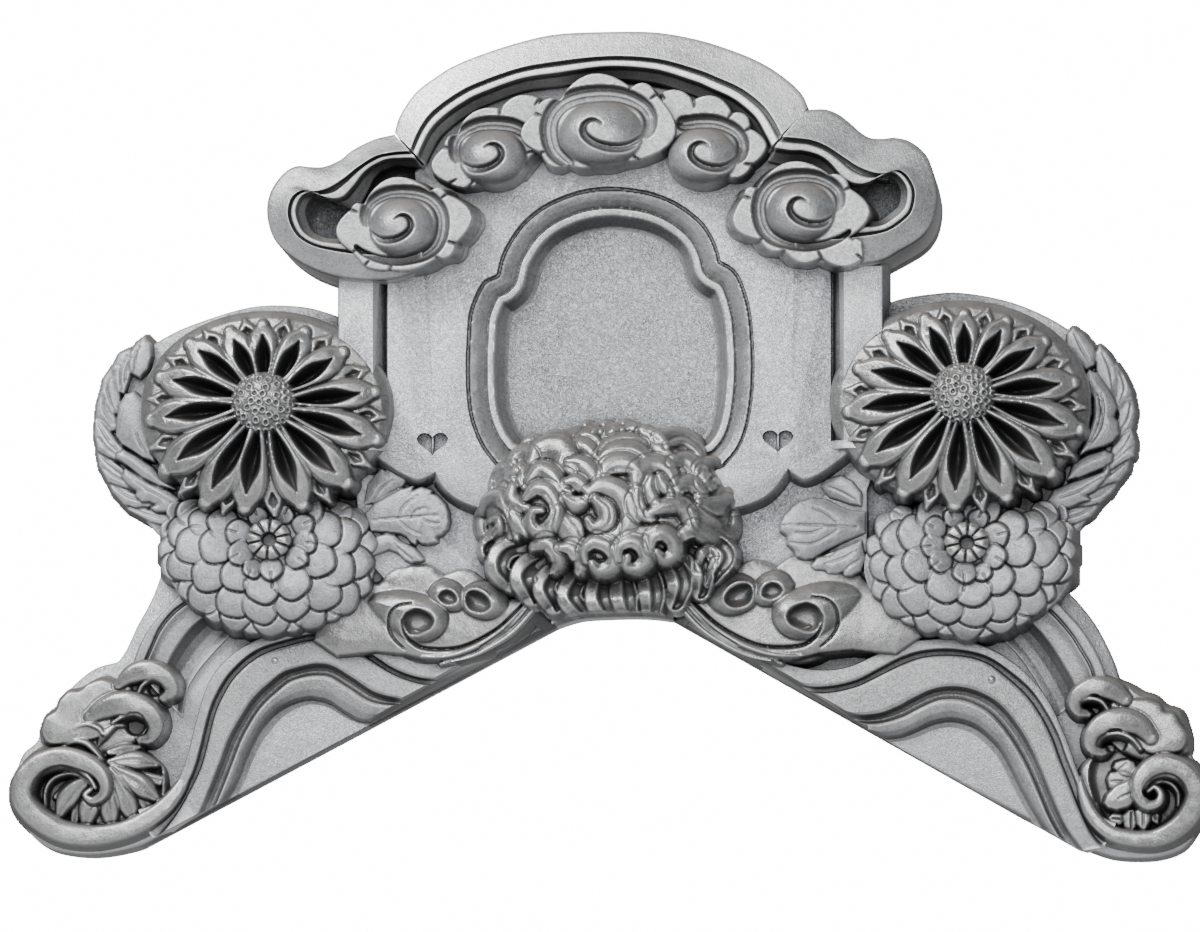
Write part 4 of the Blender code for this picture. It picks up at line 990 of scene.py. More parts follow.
# the channelled petals of the fringe: points, widths, lift above the dome
FRINGE = [
    ([(-103, 62), (-115, 57), (-119, 48), (-114, 38)], [8, 11, 10, 6], 2),
    ([(-70, 57), (-93, 52), (-103, 42), (-104, 28), (-93, 15)], [16, 20, 21, 20, 15], 5),
    ([(-58, 43), (-73, 34), (-80, 21), (-72, 2)], [17, 22, 23, 17], 5),
    ([(-41, 33), (-53, 23), (-58, 9), (-50, -7)], [17, 20, 21, 16], 5),
    ([(-19, 28), (-30, 15), (-33, 0), (-21, -15)], [16, 21, 22, 16], 5),
    ([(1, 26), (-4, 13), (-4, -2), (4, -16)], [17, 22, 24, 17], 5),
    ([(19, 27), (20, 13), (22, -1), (25, -15)], [16, 22, 24, 17], 5),
    ([(40, 34), (46, 20), (49, 4), (48, -12)], [17, 22, 24, 18], 5),
    ([(59, 42), (72, 28), (77, 13), (72, -3)], [17, 22, 23, 18], 5),
    ([(77, 51), (93, 38), (100, 23), (97, 7)], [16, 20, 20, 16], 5),
    ([(89, 61), (109, 53), (121, 42), (113, 26), (105, 15)], [16, 21, 22, 18, 10], 5),
]

# curling petals from the back of the dome to its top: points, widths, lift, section
PETALS = [
    # at the top, lying back
    ([(-30, 151), (-14, 159), (-2, 151)], [10, 14, 9], 0, PLUMP),
    ([(-18, 173), (-12, 164), (-2, 166)], [9, 14, 7], 2, PLUMP),
    ([(1, 173), (8, 165), (19, 167)], [9, 14, 7], 3, PLUMP),
    ([(20, 175), (30, 168), (41, 169)], [8, 13, 7], 2, PLUMP),
    ([(-80, 149), (-73, 157), (-63, 155)], [10, 14, 8], 0, PLUMP),
    ([(-61, 151), (-50, 159), (-34, 153), (-28, 144)], [9, 15, 13, 7], 2, SCOOP),
    ([(-33, 145), (-19, 151), (-6, 141), (-2, 134)], [9, 15, 13, 7], 3, SCOOP),
    ([(40, 165), (50, 157), (60, 142), (72, 137)], [11, 19, 17, 8], 4, SCOOP_LEFT),
    ([(56, 161), (70, 163), (88, 155), (97, 142)], [9, 15, 15, 9], 2, SCOOP),
    ([(66, 153), (79, 156), (92, 147), (96, 137)], [6, 9, 9, 6], 6, PLUMP),
    # arches right of the middle
    ([(-2, 139), (9, 151), (26, 156), (41, 154)], [11, 15, 15, 8], 2, SCOOP),
    ([(-1, 134), (11, 144), (30, 146), (43, 139), (52, 131)], [8, 15, 17, 14, 8], 5, SCOOP),
    ([(-2, 118), (10, 131), (28, 132), (39, 122), (38, 110)], [9, 17, 18, 14, 8], 7, SCOOP),
    # left, upper
    ([(-70, 135), (-59, 146), (-44, 146), (-33, 135), (-26, 121)], [10, 22, 26, 20, 9], 6, PLUMP),
    ([(-33, 135), (-22, 133), (-11, 124), (-4, 113)], [8, 15, 16, 8], 7, PLUMP),
    ([(-89, 131), (-88, 141), (-79, 146), (-70, 141), (-71, 132)], [9, 13, 15, 12, 7], 4, SCOOP),
    ([(-89, 125), (-82, 127), (-76, 115), (-71, 105)], [9, 14, 14, 7], 5, PLUMP),
    ([(-72, 117), (-61, 127), (-48, 121), (-39, 109), (-30, 103)], [9, 15, 16, 13, 7], 8, SCOOP),
    ([(-34, 114), (-25, 114), (-14, 105)], [8, 15, 9], 9, PLUMP),
    # left, outer
    ([(-111, 110), (-111, 120), (-101, 129), (-92, 124), (-86, 113)], [8, 12, 15, 12, 8], 3, SCOOP),
    ([(-84, 61), (-87, 77), (-93, 92), (-105, 101), (-117, 96), (-123, 83), (-123, 69), (-113, 62),
     (-103, 69), (-104, 79), (-112, 79)], [7, 11, 13, 14, 14, 13, 13, 12, 11, 9, 6], 7, SCOOP_LEFT),
    ([(-89, 110), (-89, 100), (-81, 92), (-70, 87)], [9, 14, 13, 7], 7, PLUMP),
    ([(-88, 85), (-82, 75), (-75, 68), (-66, 65)], [8, 14, 14, 8], 6, PLUMP),
    ([(-75, 100), (-65, 108), (-53, 106), (-45, 94), (-44, 79), (-52, 67), (-64, 65), (-71, 75), (-68, 85),
     (-59, 86)], [8, 13, 15, 15, 15, 15, 13, 11, 9, 6], 11, SCOOP),
    # middle
    ([(-40, 85), (-36, 75), (-28, 64), (-22, 55)], [8, 20, 22, 12], 6, SCOOP_LEFT),
    ([(-36, 98), (-24, 91), (-12, 97)], [7, 15, 8], 10, SCOOP_LEFT),
    ([(-12, 103), (3, 109), (20, 101), (30, 85), (26, 69), (14, 61), (1, 64)], [10, 17, 20, 20, 18, 15, 9],
     10, PLUMP),
    ([(-5, 95), (4, 86), (4, 74), (-6, 69), (-12, 76)], [9, 16, 17, 13, 7], 13, SCOOP_LEFT),
    # right of the middle
    ([(34, 109), (36, 121), (50, 132), (65, 127), (73, 113)], [9, 16, 17, 15, 8], 7, SCOOP),
    ([(50, 117), (48, 105), (53, 94), (62, 89)], [8, 14, 14, 8], 8, PLUMP),
    ([(58, 119), (62, 109), (69, 102)], [7, 12, 8], 10, PLUMP),
    ([(36, 105), (35, 92), (40, 81), (50, 76)], [9, 14, 14, 8], 9, SCOOP_LEFT),
    ([(70, 135), (82, 137), (92, 127), (90, 117)], [8, 15, 15, 8], 4, SCOOP),
    ([(75, 97), (77, 109), (88, 113), (97, 104), (95, 92)], [8, 13, 15, 13, 8], 6, SCOOP),
    ([(50, 83), (62, 89), (76, 91), (86, 83), (88, 69), (78, 62)], [8, 14, 16, 16, 14, 8], 9, PLUMP),
    ([(26, 74), (32, 62), (44, 61), (55, 67)], [8, 15, 15, 8], 8, SCOOP_LEFT),
    # right, outer
    ([(94, 126), (100, 134), (111, 135), (120, 125), (124, 111), (118, 98), (105, 94), (96, 98)], [7, 11,
     13, 13, 13, 13, 11, 7], 5, SCOOP),
    ([(100, 128), (101, 117), (106, 112), (111, 116)], [9, 12, 13, 8], 7, PLUMP),
    ([(97, 92), (111, 89), (124, 96), (130, 87)], [9, 14, 14, 9], 4, PLUMP),
    ([(94, 86), (103, 74), (118, 65), (127, 70), (130, 82)], [9, 15, 17, 15, 9], 5, SCOOP_LEFT),
    ([(81, 60), (93, 67), (109, 59), (121, 45), (121, 32)], [9, 15, 16, 15, 9], 9, SCOOP),
    ([(96, 30), (100, 45), (108, 42), (102, 30)], [7, 10, 10, 6], 8, PLUMP),
    # the hooks above the fringe
    ([(-67, 51), (-55, 54), (-45, 46), (-42, 34), (-47, 26)], [9, 14, 15, 14, 8], 8, SCOOP),
    ([(-40, 49), (-29, 48), (-19, 38), (-21, 26)], [8, 15, 17, 10], 8, SCOOP),
    ([(-16, 35), (-17, 46), (-7, 54), (6, 51), (15, 40), (10, 29), (-2, 26), (-9, 32)], [7, 10, 13, 14, 14,
     14, 13, 8], 12, SCOOP),
    ([(18, 37), (18, 48), (30, 55), (42, 49), (45, 37), (36, 28), (25, 30), (26, 39)], [7, 10, 13, 14, 14,
     13, 10, 7], 12, SCOOP),
    ([(49, 46), (51, 58), (62, 63), (72, 55), (72, 43), (62, 37), (55, 44)], [7, 11, 14, 14, 13, 12, 7], 11,
     SCOOP),
]


def mum_dome(x, z):
    """Depth of the flower's dome."""
    share = np.hypot((x - MUM_CENTRE[0]) / MUM_HALF[0], (z - MUM_CENTRE[1]) / MUM_HALF[1])
    return MUM_BASE + MUM_RISE * np.clip(1 - share ** 2.8, 0, 1) ** 0.62


def middle_flower():
    """A chrysanthemum: curling petals on a dome, channelled ones in the fringe."""
    clay = Carving((-136, -34), (146, 196), HIDDEN, 0.9)
    share = np.hypot((clay.x - MUM_CENTRE[0]) / MUM_HALF[0],
                     (clay.z - MUM_CENTRE[1]) / MUM_HALF[1])
    dome = mum_dome(clay.x, clay.z) - 5
    dome = np.where((share > 0.6) & (clay.z < FRINGE_TOP), np.minimum(dome, FRINGE_FLOOR), dome)
    clay.depth = np.where(share < 0.95, dome, clay.base)
    petals = [(points, widths, lift, TROUGH) for points, widths, lift in FRINGE] + PETALS
    for points, widths, lift, section in petals:
        path = np.array(smooth(points, max(8, int(path_length(points) / 2))))
        if section is TROUGH:
            wider, top = FRINGE_WIDER, blend(spread(path), FRINGE_DEPTHS) + lift - 5
        else:
            wider, top = PETAL_WIDER, mum_dome(path[:, 0], path[:, 1]) + lift - 3
        clay.stroke(path, [w * wider for w in widths], top, section, raw=True, moat=1.8)
    return clay.solid("middle_flower", 160, ratio=0.6)


# ---------------------------------------------------------------- leaves
# a leaf: outline, depth of its face, swell, slope to the right and up, veins
OUTER_LEAVES_LEFT = [
    ([(-478, 254), (-472, 263), (-464, 269), (-457, 262), (-456, 249), (-460, 235), (-468, 227),
     (-476, 231), (-480, 243)], 108, 3, (0.1, -0.1), [[(-469, 258), (-475, 245), (-475, 231)]]),
    ([(-497, 238), (-490, 252), (-479, 257), (-472, 252), (-475, 237), (-480, 223), (-484, 211),
     (-492, 213), (-496, 225)], 104, 3, (0.1, 0), [[(-482, 249), (-488, 231), (-487, 215)], [(-477, 247),
     (-482, 235), (-483, 223)]]),
    ([(-509, 213), (-506, 227), (-497, 240), (-489, 239), (-489, 223), (-488, 207), (-489, 191),
     (-498, 191), (-505, 201)], 101, 3, (0.1, 0), [[(-496, 233), (-502, 219), (-498, 203), (-493, 193)]]),
    ([(-514, 185), (-513, 201), (-509, 215), (-502, 215), (-499, 201), (-492, 187), (-489, 175),
     (-498, 173), (-508, 179)], 99, 3, (0.1, 0), [[(-506, 209), (-505, 195), (-496, 181)]]),
    ([(-511, 154), (-515, 171), (-514, 187), (-507, 184), (-498, 173), (-490, 162), (-482, 153),
     (-470, 141), (-484, 141), (-500, 147)], 103, 3, (0.08, -0.1), [[(-511, 182), (-501, 166), (-486, 150)],
     [(-510, 167), (-500, 155), (-486, 146)]]),
    ([(-501, 123), (-510, 139), (-513, 155), (-506, 152), (-494, 143), (-482, 133), (-464, 122),
     (-441, 113), (-466, 111), (-486, 117)], 101, 3, (0.08, -0.1), [[(-509, 150), (-494, 137), (-470, 122)],
     [(-506, 137), (-492, 127), (-470, 117)]]),
    ([(-485, 100), (-496, 112), (-502, 125), (-492, 121), (-478, 113), (-460, 106), (-446, 101), (-460, 97),
     (-474, 97)], 99, 3, (0.05, -0.1), [[(-498, 121), (-484, 110), (-464, 102)]]),
    ([(-472, 90), (-480, 94), (-486, 101), (-474, 99), (-458, 95), (-440, 92), (-430, 85), (-442, 78),
     (-458, 82)], 97, 3, (0.05, -0.1), [[(-480, 98), (-464, 91), (-446, 86)]]),
    ([(-474, 213), (-483, 210), (-489, 199), (-491, 184), (-492, 169), (-486, 160), (-475, 153),
     (-465, 146), (-453, 142), (-453, 162), (-455, 182), (-459, 200)], 110, 4, (0.05, 0), [[(-471, 170),
     (-467, 160), (-461, 150)]]),
    ([(-483, 136), (-471, 129), (-457, 120), (-441, 114), (-428, 105), (-430, 97), (-439, 92), (-452, 92),
     (-457, 96), (-452, 99), (-458, 102), (-466, 102), (-472, 108), (-471, 113), (-480, 119), (-486, 127)],
     107, 4, (0, 0), [[(-475, 124), (-455, 112), (-435, 101)]]),
    ([(-491, 151), (-484, 154), (-471, 147), (-455, 136), (-445, 124), (-433, 115), (-447, 117),
     (-465, 126), (-481, 139), (-491, 146)], 111, 4, (0, 0), []),
]
OUTER_LEAVES_RIGHT = [
    ([(462, 251), (463, 267), (469, 273), (479, 266), (489, 254), (492, 245), (490, 235), (482, 230),
     (472, 237)], 108, 4, (-0.1, 0), [[(470, 267), (476, 253), (484, 239)]]),
    ([(491, 247), (495, 255), (503, 248), (510, 237), (513, 221), (512, 205), (508, 193), (500, 209),
     (492, 229)], 104, 3, (-0.1, 0), [[(498, 247), (505, 231), (508, 211)]]),
    ([(507, 233), (512, 237), (520, 225), (527, 210), (528, 201), (520, 197), (514, 187), (510, 199),
     (511, 217)], 101, 3, (-0.1, 0), [[(515, 229), (520, 213), (515, 197)]]),
    ([(520, 201), (528, 205), (531, 189), (528, 172), (519, 166), (507, 153), (510, 169), (514, 187)], 99,
     3, (-0.1, 0), [[(526, 197), (523, 181), (512, 165)]]),
    ([(517, 165), (527, 172), (531, 158), (529, 144), (518, 138), (504, 129), (494, 121), (502, 139),
     (508, 153)], 103, 3, (-0.08, -0.1), [[(526, 165), (518, 151), (502, 135)], [(528, 153), (516, 144),
     (502, 132)]]),
    ([(518, 140), (526, 144), (523, 130), (514, 119), (502, 115), (486, 107), (476, 103), (490, 119),
     (504, 131)], 101, 3, (-0.08, -0.1), [[(522, 139), (508, 128), (490, 115)]]),
    ([(504, 116), (514, 119), (506, 107), (495, 97), (482, 94), (468, 92), (474, 103), (490, 111)], 99, 3,
     (-0.05, -0.1), [[(508, 114), (494, 105), (478, 99)]]),
    ([(482, 98), (495, 96), (486, 84), (472, 77), (457, 74), (450, 83), (456, 91), (468, 95)], 97, 3,
     (-0.05, -0.1), [[(488, 93), (474, 86), (458, 82)]]),
    ([(477, 221), (485, 230), (493, 226), (503, 212), (509, 201), (512, 193), (509, 183), (513, 177),
     (514, 166), (508, 158), (499, 153), (485, 149), (475, 145), (483, 162), (489, 182), (489, 202)], 110,
     4, (-0.05, 0), [[(493, 204), (495, 188), (492, 172), (485, 158)], [(497, 206), (499, 188), (495, 170),
     (485, 154)]]),
    ([(449, 110), (469, 118), (487, 124), (499, 128), (505, 136), (504, 126), (496, 116), (490, 109),
     (481, 104), (485, 100), (474, 96), (465, 92), (452, 90), (443, 99)], 107, 4, (0, 0), [[(497, 122),
     (477, 110), (455, 102)]]),
    ([(463, 120), (469, 136), (483, 144), (500, 149), (508, 145), (507, 138), (499, 132), (487, 127),
     (475, 122)], 111, 4, (0, 0), []),
]
INNER_LEAVES_LEFT = [
    ([(-243, 97), (-239, 118), (-231, 128), (-224, 134), (-221, 132), (-215, 135), (-208, 135), (-208, 130),
     (-202, 129), (-197, 127), (-200, 120), (-203, 115), (-211, 111), (-217, 107), (-225, 100)], 113, 3,
     (0.1, 0.1), [[(-233, 102), (-225, 114), (-213, 122)]]),
    ([(-239, 54), (-229, 66), (-219, 69), (-211, 67), (-205, 61), (-197, 57), (-191, 54), (-185, 48),
     (-181, 42), (-184, 40), (-195, 39), (-201, 42), (-208, 49), (-217, 52), (-233, 46)], 115, 3, (0.1, 0),
     [[(-211, 58), (-203, 50), (-193, 42)]]),
    ([(-241, 89), (-231, 99), (-218, 106), (-205, 113), (-199, 114), (-192, 116), (-193, 111), (-189, 113),
     (-184, 115), (-178, 113), (-173, 111), (-174, 108), (-168, 106), (-163, 101), (-159, 96), (-157, 90),
     (-156, 79), (-158, 72), (-163, 67), (-168, 65), (-169, 63), (-167, 60), (-172, 58), (-178, 57),
     (-184, 58), (-188, 61), (-190, 57), (-194, 59), (-199, 65), (-205, 68), (-215, 69), (-235, 71)], 120,
     3, (0.12, 0), [[(-233, 82), (-207, 84), (-167, 86)], [(-207, 84), (-202, 95), (-188, 106)],
     [(-194, 84), (-189, 91), (-179, 93)], [(-205, 81), (-197, 73), (-184, 67)], [(-182, 83), (-175, 79),
     (-166, 78)]]),
]
INNER_LEAVES_RIGHT = [
    ([(215, 115), (221, 121), (231, 124), (237, 125), (248, 119), (257, 107), (257, 94), (245, 96),
     (233, 100), (225, 102), (219, 108)], 112, 4, (0.2, 0.1), [[(223, 114), (237, 108), (251, 100)]]),
    ([(206, 34), (212, 42), (225, 47), (241, 53), (257, 60), (261, 42), (256, 29), (247, 24), (240, 24),
     (238, 28), (233, 26), (223, 26), (221, 29), (210, 30)], 116, 4, (-0.1, 0), [[(231, 52), (221, 50),
     (217, 44), (227, 45), (233, 51)], [(253, 50), (239, 42), (221, 36)], [(255, 40), (245, 34),
     (239, 28)]]),
    ([(261, 89), (245, 90), (233, 95), (221, 101), (207, 102), (195, 98), (188, 93), (185, 89), (180, 85),
     (176, 76), (176, 69), (183, 64), (183, 56), (190, 49), (192, 43), (201, 40), (209, 41), (221, 49),
     (239, 58), (261, 67)], 120, 5, (-0.16, 0), [[(178, 74), (197, 75), (225, 74), (253, 73)], [(209, 92),
     (221, 87), (233, 78)], [(185, 57), (207, 56), (223, 63), (233, 70)], [(191, 67), (207, 67),
     (219, 71)]]),
]


def leaves(name, blades, base, seed):
    """Leaves lying over one another."""
    spots = np.array([p for outline, *_ in blades for p in outline])
    clay = Carving(spots.min(0) - 6, spots.max(0) + 6, base)
    for outline, top, swell, tilt, veins in blades:
        clay.blade(outline, top, swell, tilt, veins)
    return clay.solid(name, seed, ratio=0.6)


LEAF_GROUPS = [
    ("leaves_left", OUTER_LEAVES_LEFT, 70, 200),
    ("leaves_right", OUTER_LEAVES_RIGHT, 70, 210),
    ("leaf_inner_left", INNER_LEAVES_LEFT, 88, 220),
    ("leaf_inner_right", INNER_LEAVES_RIGHT, 88, 230),
]


# ---------------------------------------------------------------- legs
LEG_BANDS_LEFT = [
    [(-470, -206), (-446, -196), (-428, -172), (-419, -145), (-413, -120), (-406, -95), (-396, -72),
     (-378, -52), (-352, -36), (-314, -24), (-274, -20), (-234, -30), (-204, -46), (-164, -58), (-124, -52),
     (-84, -34)],
    [(-464, -224), (-439, -208), (-426, -190), (-414, -165), (-407, -140), (-401, -115), (-394, -95),
     (-379, -70), (-354, -48), (-324, -37), (-289, -30), (-259, -36), (-234, -52), (-214, -65), (-194, -73),
     (-174, -76), (-150, -73), (-110, -55)],
    [(-452, -240), (-432, -212), (-419, -190), (-407, -165), (-400, -140), (-394, -115), (-387, -97),
     (-373, -74), (-350, -54), (-322, -43), (-289, -37), (-261, -43), (-237, -58), (-216, -71), (-196, -79),
     (-174, -83), (-146, -80), (-110, -66)],
    [(-436, -250), (-411, -212), (-399, -185), (-388, -157), (-379, -133), (-366, -110), (-354, -93),
     (-339, -79), (-324, -68), (-304, -62), (-289, -60), (-274, -63), (-254, -75), (-234, -88), (-214, -94),
     (-196, -95), (-160, -86)],
    [(-424, -252), (-398, -212), (-386, -185), (-376, -159), (-367, -136), (-356, -116), (-345, -101),
     (-331, -88), (-318, -78), (-302, -73), (-289, -72), (-277, -74), (-259, -85), (-238, -98),
     (-216, -102), (-196, -101), (-166, -94)],
    [(-414, -244), (-389, -202), (-375, -178), (-365, -152), (-357, -135), (-348, -120), (-334, -106),
     (-319, -98), (-304, -94), (-294, -94), (-279, -98), (-264, -108), (-249, -116), (-234, -116),
     (-214, -109), (-184, -96)],
    [(-408, -250), (-382, -206), (-368, -182), (-358, -158), (-349, -139), (-340, -127), (-328, -113),
     (-314, -104), (-302, -100), (-294, -100), (-281, -103), (-266, -112), (-250, -119), (-234, -120),
     (-214, -114), (-186, -102)],
]
LEG_BANDS_RIGHT = [
    [(510, -222), (491, -213), (481, -195), (473, -175), (463, -145), (453, -120), (441, -97), (426, -78),
     (406, -60), (381, -46), (352, -38), (322, -38), (296, -42), (268, -54), (240, -66), (210, -68),
     (176, -60), (120, -34)],
    [(504, -239), (491, -226), (478, -200), (468, -175), (460, -155), (453, -135), (441, -112), (426, -90),
     (406, -72), (386, -58), (366, -51), (341, -48), (316, -50), (296, -56), (276, -66), (250, -79),
     (221, -85), (196, -83), (160, -66)],
    [(495, -247), (483, -232), (470, -204), (460, -178), (452, -158), (445, -138), (434, -116), (420, -96),
     (401, -78), (383, -64), (364, -57), (341, -55), (318, -57), (299, -63), (278, -73), (250, -86),
     (220, -92), (194, -89), (160, -76)],
    [(477, -250), (460, -226), (446, -195), (438, -175), (428, -152), (416, -130), (401, -110), (386, -97),
     (366, -88), (346, -85), (326, -88), (306, -97), (291, -105), (271, -112), (246, -112), (214, -98)],
    [(470, -262), (446, -224), (434, -197), (426, -178), (416, -157), (404, -137), (391, -120), (379, -109),
     (363, -101), (346, -98), (330, -100), (312, -108), (296, -116), (272, -122), (246, -120), (214, -108)],
    [(458, -256), (436, -222), (418, -190), (408, -170), (396, -148), (381, -132), (366, -122), (346, -117),
     (326, -120), (306, -129), (291, -134), (274, -134), (256, -126), (236, -112)],
    [(452, -260), (429, -226), (411, -194), (401, -174), (390, -154), (376, -139), (363, -130), (346, -125),
     (329, -127), (309, -135), (292, -139), (272, -139), (254, -132), (234, -118)],
]
LEG_STRIPS_LEFT = [
    [(-410, 26), (-424, 14), (-439, -2), (-454, -18), (-464, -32), (-472, -50), (-478, -68)],
    [(-404, 20), (-419, 6), (-436, -7), (-449, -23), (-457, -40), (-464, -57), (-469, -72)],
    [(-398, 14), (-413, 0), (-430, -14), (-443, -29), (-451, -44), (-458, -60), (-463, -75)],
    [(-388, 4), (-402, -10), (-419, -25), (-434, -46), (-442, -62), (-447, -78), (-450, -90)],
    [(-374, -6), (-388, -22), (-404, -38), (-420, -58), (-430, -76), (-434, -92), (-436, -104)],
]
LEG_STRIPS_RIGHT = [
    [(432, 18), (448, 2), (462, -12), (476, -28), (487, -44), (496, -62), (502, -80)],
    [(426, 10), (441, -4), (455, -18), (468, -34), (478, -50), (487, -66), (492, -84)],
    [(420, 4), (434, -9), (448, -23), (461, -38), (471, -54), (480, -70), (486, -88)],
    [(408, -6), (422, -18), (436, -32), (448, -48), (458, -64), (467, -80), (473, -96)],
    [(392, -16), (406, -30), (420, -44), (432, -60), (442, -76), (451, -92), (458, -108)],
]
# guide curve number and depth across the bands of a leg
LEG_SECTION = [(0.0, 88.5), (0.08, 92), (0.9, 92.5), (1.0, 91.6), (1.16, 80), (1.75, 79), (1.95, 86.4),
    (2.1, 87.2), (2.9, 87.8), (3.0, 87), (3.25, 76), (3.6, 73), (3.84, 74.5), (3.98, 80), (4.15, 81),
    (4.6, 79.5), (4.92, 76), (5.1, 71), (5.35, 64), (6.0, 62.5), (6.1, 58)]
STRIP_SECTION = [(0.0, 96), (0.2, 97.5), (0.85, 97.5), (1.0, 96.8), (1.1, 91), (1.3, 90.5), (1.45, 93),
    (1.6, 93), (2.0, 91), (2.2, 90), (2.9, 89.5), (3.0, 88.5), (3.15, 80), (3.4, 72), (3.8, 67), (4.2, 66),
    (4.6, 69)]


def leg(side):
    """The mouldings that follow one another down a leg."""
    word, guides, strips = (("left", LEG_BANDS_LEFT, LEG_STRIPS_LEFT) if side < 0 else
                            ("right", LEG_BANDS_RIGHT, LEG_STRIPS_RIGHT))
    bands = moulding("leg_" + word, guides, LEG_SECTION, 150, 20,
                     radius=1.2)
    strip = moulding("strips", strips, STRIP_SECTION, 50, 20,
                     radius=1.2)
    return combine(bands, 'UNION', [strip])


# ---------------------------------------------------------------- curling waves
# Rows of a carving, each with its shape and its values:
# plate and swelling: outline, top, swell, rounding, slope to the right if it has one
# shelf: outline of straight sides, top, swell, rounding, slope to the right
# curl, ridge and petal: path, widths, tops
# line: path, widths, how deep it is cut;  bowl: outline, floor, width of its slope
# pit: centre, radius, floor;  leaf: outline, top, veins
FLAT = [(-1, -8), (-0.92, -3), (-0.8, -0.8), (-0.5, 0), (0.5, 0), (0.8, -0.8), (0.92, -3), (1, -8)]
RIDGE = [(-1, -3), (-0.5, -0.2), (0, 0), (0.5, -0.4), (1, -3)]
WAVES_LEFT = [
    # the plateau and its broken upper edge
    ("plate", [(-256, 3), (-252, 23), (-245, 36), (-230, 43), (-206, 45), (-176, 45), (-151, 44),
     (-131, 41), (-114, 32), (-102, 19), (-90, 9), (-66, 5), (-72, -9), (-94, -31), (-126, -49),
     (-166, -61), (-196, -59), (-226, -37)], 99, 1, 8, 0.03),
    ("shelf", [(-293, -38), (-287, -6), (-257, 4), (-243, 12), (-237, 19), (-228, 19), (-224, 22),
     (-221, 28), (-216, 32), (-209, 35), (-200, 36), (-193, 38), (-180, 38), (-172, 36), (-167, 32),
     (-161, 28), (-153, 31), (-147, 33), (-139, 33), (-131, 30), (-125, 25), (-115, 18), (-107, 10),
     (-97, 2), (-75, 4), (-65, 0), (-77, -14), (-93, -30), (-113, -44), (-138, -55), (-160, -60),
     (-180, -58), (-200, -53), (-230, -50), (-270, -54)], 110.5, 4, 2.5, 0.085),
    # the swelling of the great curl, of the middle one and of the right one
    ("swelling", [(-243, 0), (-233, 10), (-217, 13), (-203, 13), (-185, 8), (-167, 0), (-158, -11),
     (-158, -24), (-165, -35), (-177, -41), (-193, -40), (-207, -35), (-219, -26), (-233, -14)], 112, 15, 1,
     0.2),
    ("swelling", [(-177, 10), (-171, 18), (-161, 22), (-149, 19), (-140, 10), (-138, -2), (-145, -10),
     (-155, -11), (-165, -7), (-174, 1)], 119, 12, 1, 0),
    ("swelling", [(-144, 10), (-135, 17), (-123, 20), (-110, 17), (-99, 7), (-96, -4), (-102, -14),
     (-114, -20), (-126, -19), (-139, -12), (-145, -1)], 120, 13, 1, 0),
    # the line that winds out of the great curl, and the lips beside it
    ("line", [(-194, -2), (-206, -4), (-214, -10), (-217, -19), (-216, -29), (-210, -39), (-201, -47)], [2,
     3, 3.5, 3.5, 2], 5),
    ("ridge", [(-185, -55), (-160, -55), (-135, -48), (-111, -35), (-89, -17), (-72, 2)], [2, 5, 6, 6, 4],
     [113, 117, 121, 125, 125]),
    ("ridge", [(-165, -62), (-137, -56), (-113, -45), (-92, -31), (-75, -13), (-64, 2)], [3, 4, 5, 4], [111,
     116, 121, 123]),
    ("line", [(-203, -19), (-201, -31), (-194, -40), (-184, -46), (-165, -48), (-145, -46), (-125, -38),
     (-105, -26), (-89, -11), (-79, 0)], [2, 4, 5, 4.5, 4, 4, 4, 3], 7),
    ("line", [(-125, -46), (-105, -33), (-89, -18), (-75, -1)], [2, 3, 2], 4),
    # the eyes and their rolled lips
    ("bowl", [(-203, -18), (-198, -11), (-189, -8), (-177, -11), (-171, -19), (-174, -27), (-181, -31),
     (-189, -34), (-197, -33), (-202, -26)], 108, 11),
    ("ridge", [(-204, -23), (-203, -15), (-197, -9), (-188, -6), (-177, -10), (-170, -18), (-171, -26),
     (-177, -31), (-185, -31), (-191, -29)], [2, 3, 4, 4, 4, 3.5, 3, 2], [118, 124, 127, 127, 125, 120,
     115]),
    ("bowl", [(-168, 4), (-163, 10), (-155, 11), (-148, 5), (-148, -2), (-156, -5), (-164, -2)], 116, 7),
    ("ridge", [(-169, 0), (-166, 8), (-159, 12), (-151, 10), (-146, 3), (-149, -4)], [2, 3, 3.5, 2.5], [123,
     127, 128, 122]),
    ("bowl", [(-140, 2), (-137, 9), (-127, 9), (-117, 3), (-114, -6), (-121, -12), (-132, -11), (-138, -6)],
     114, 10),
    ("ridge", [(-142, 5), (-135, 11), (-125, 11), (-116, 5), (-112, -4), (-119, -12)], [2.5, 3.5, 4, 2.5],
     [124, 130, 130, 120]),
]
# the right wave is a slightly larger mirror image
WAVE_TURN, WAVE_STRETCH, WAVE_SHIFT = -3.4, 1.09, 5.0


def mirrored_rows(rows):
    """The rows of a carving for the other side."""
    def flip(points):
        return [(WAVE_TURN - x * WAVE_STRETCH, z * WAVE_STRETCH + WAVE_SHIFT)
                for x, z in points]
    result = []
    for kind, shape, *values in rows:
        if kind in ("plate", "shelf", "swelling"):
            values[-1] = -values[-1]
        result.append((kind, flip(shape), *values))
    return result


CURL_WIDER, PETAL_WIDENING = 1.12, 1.2      # so that neighbours meet


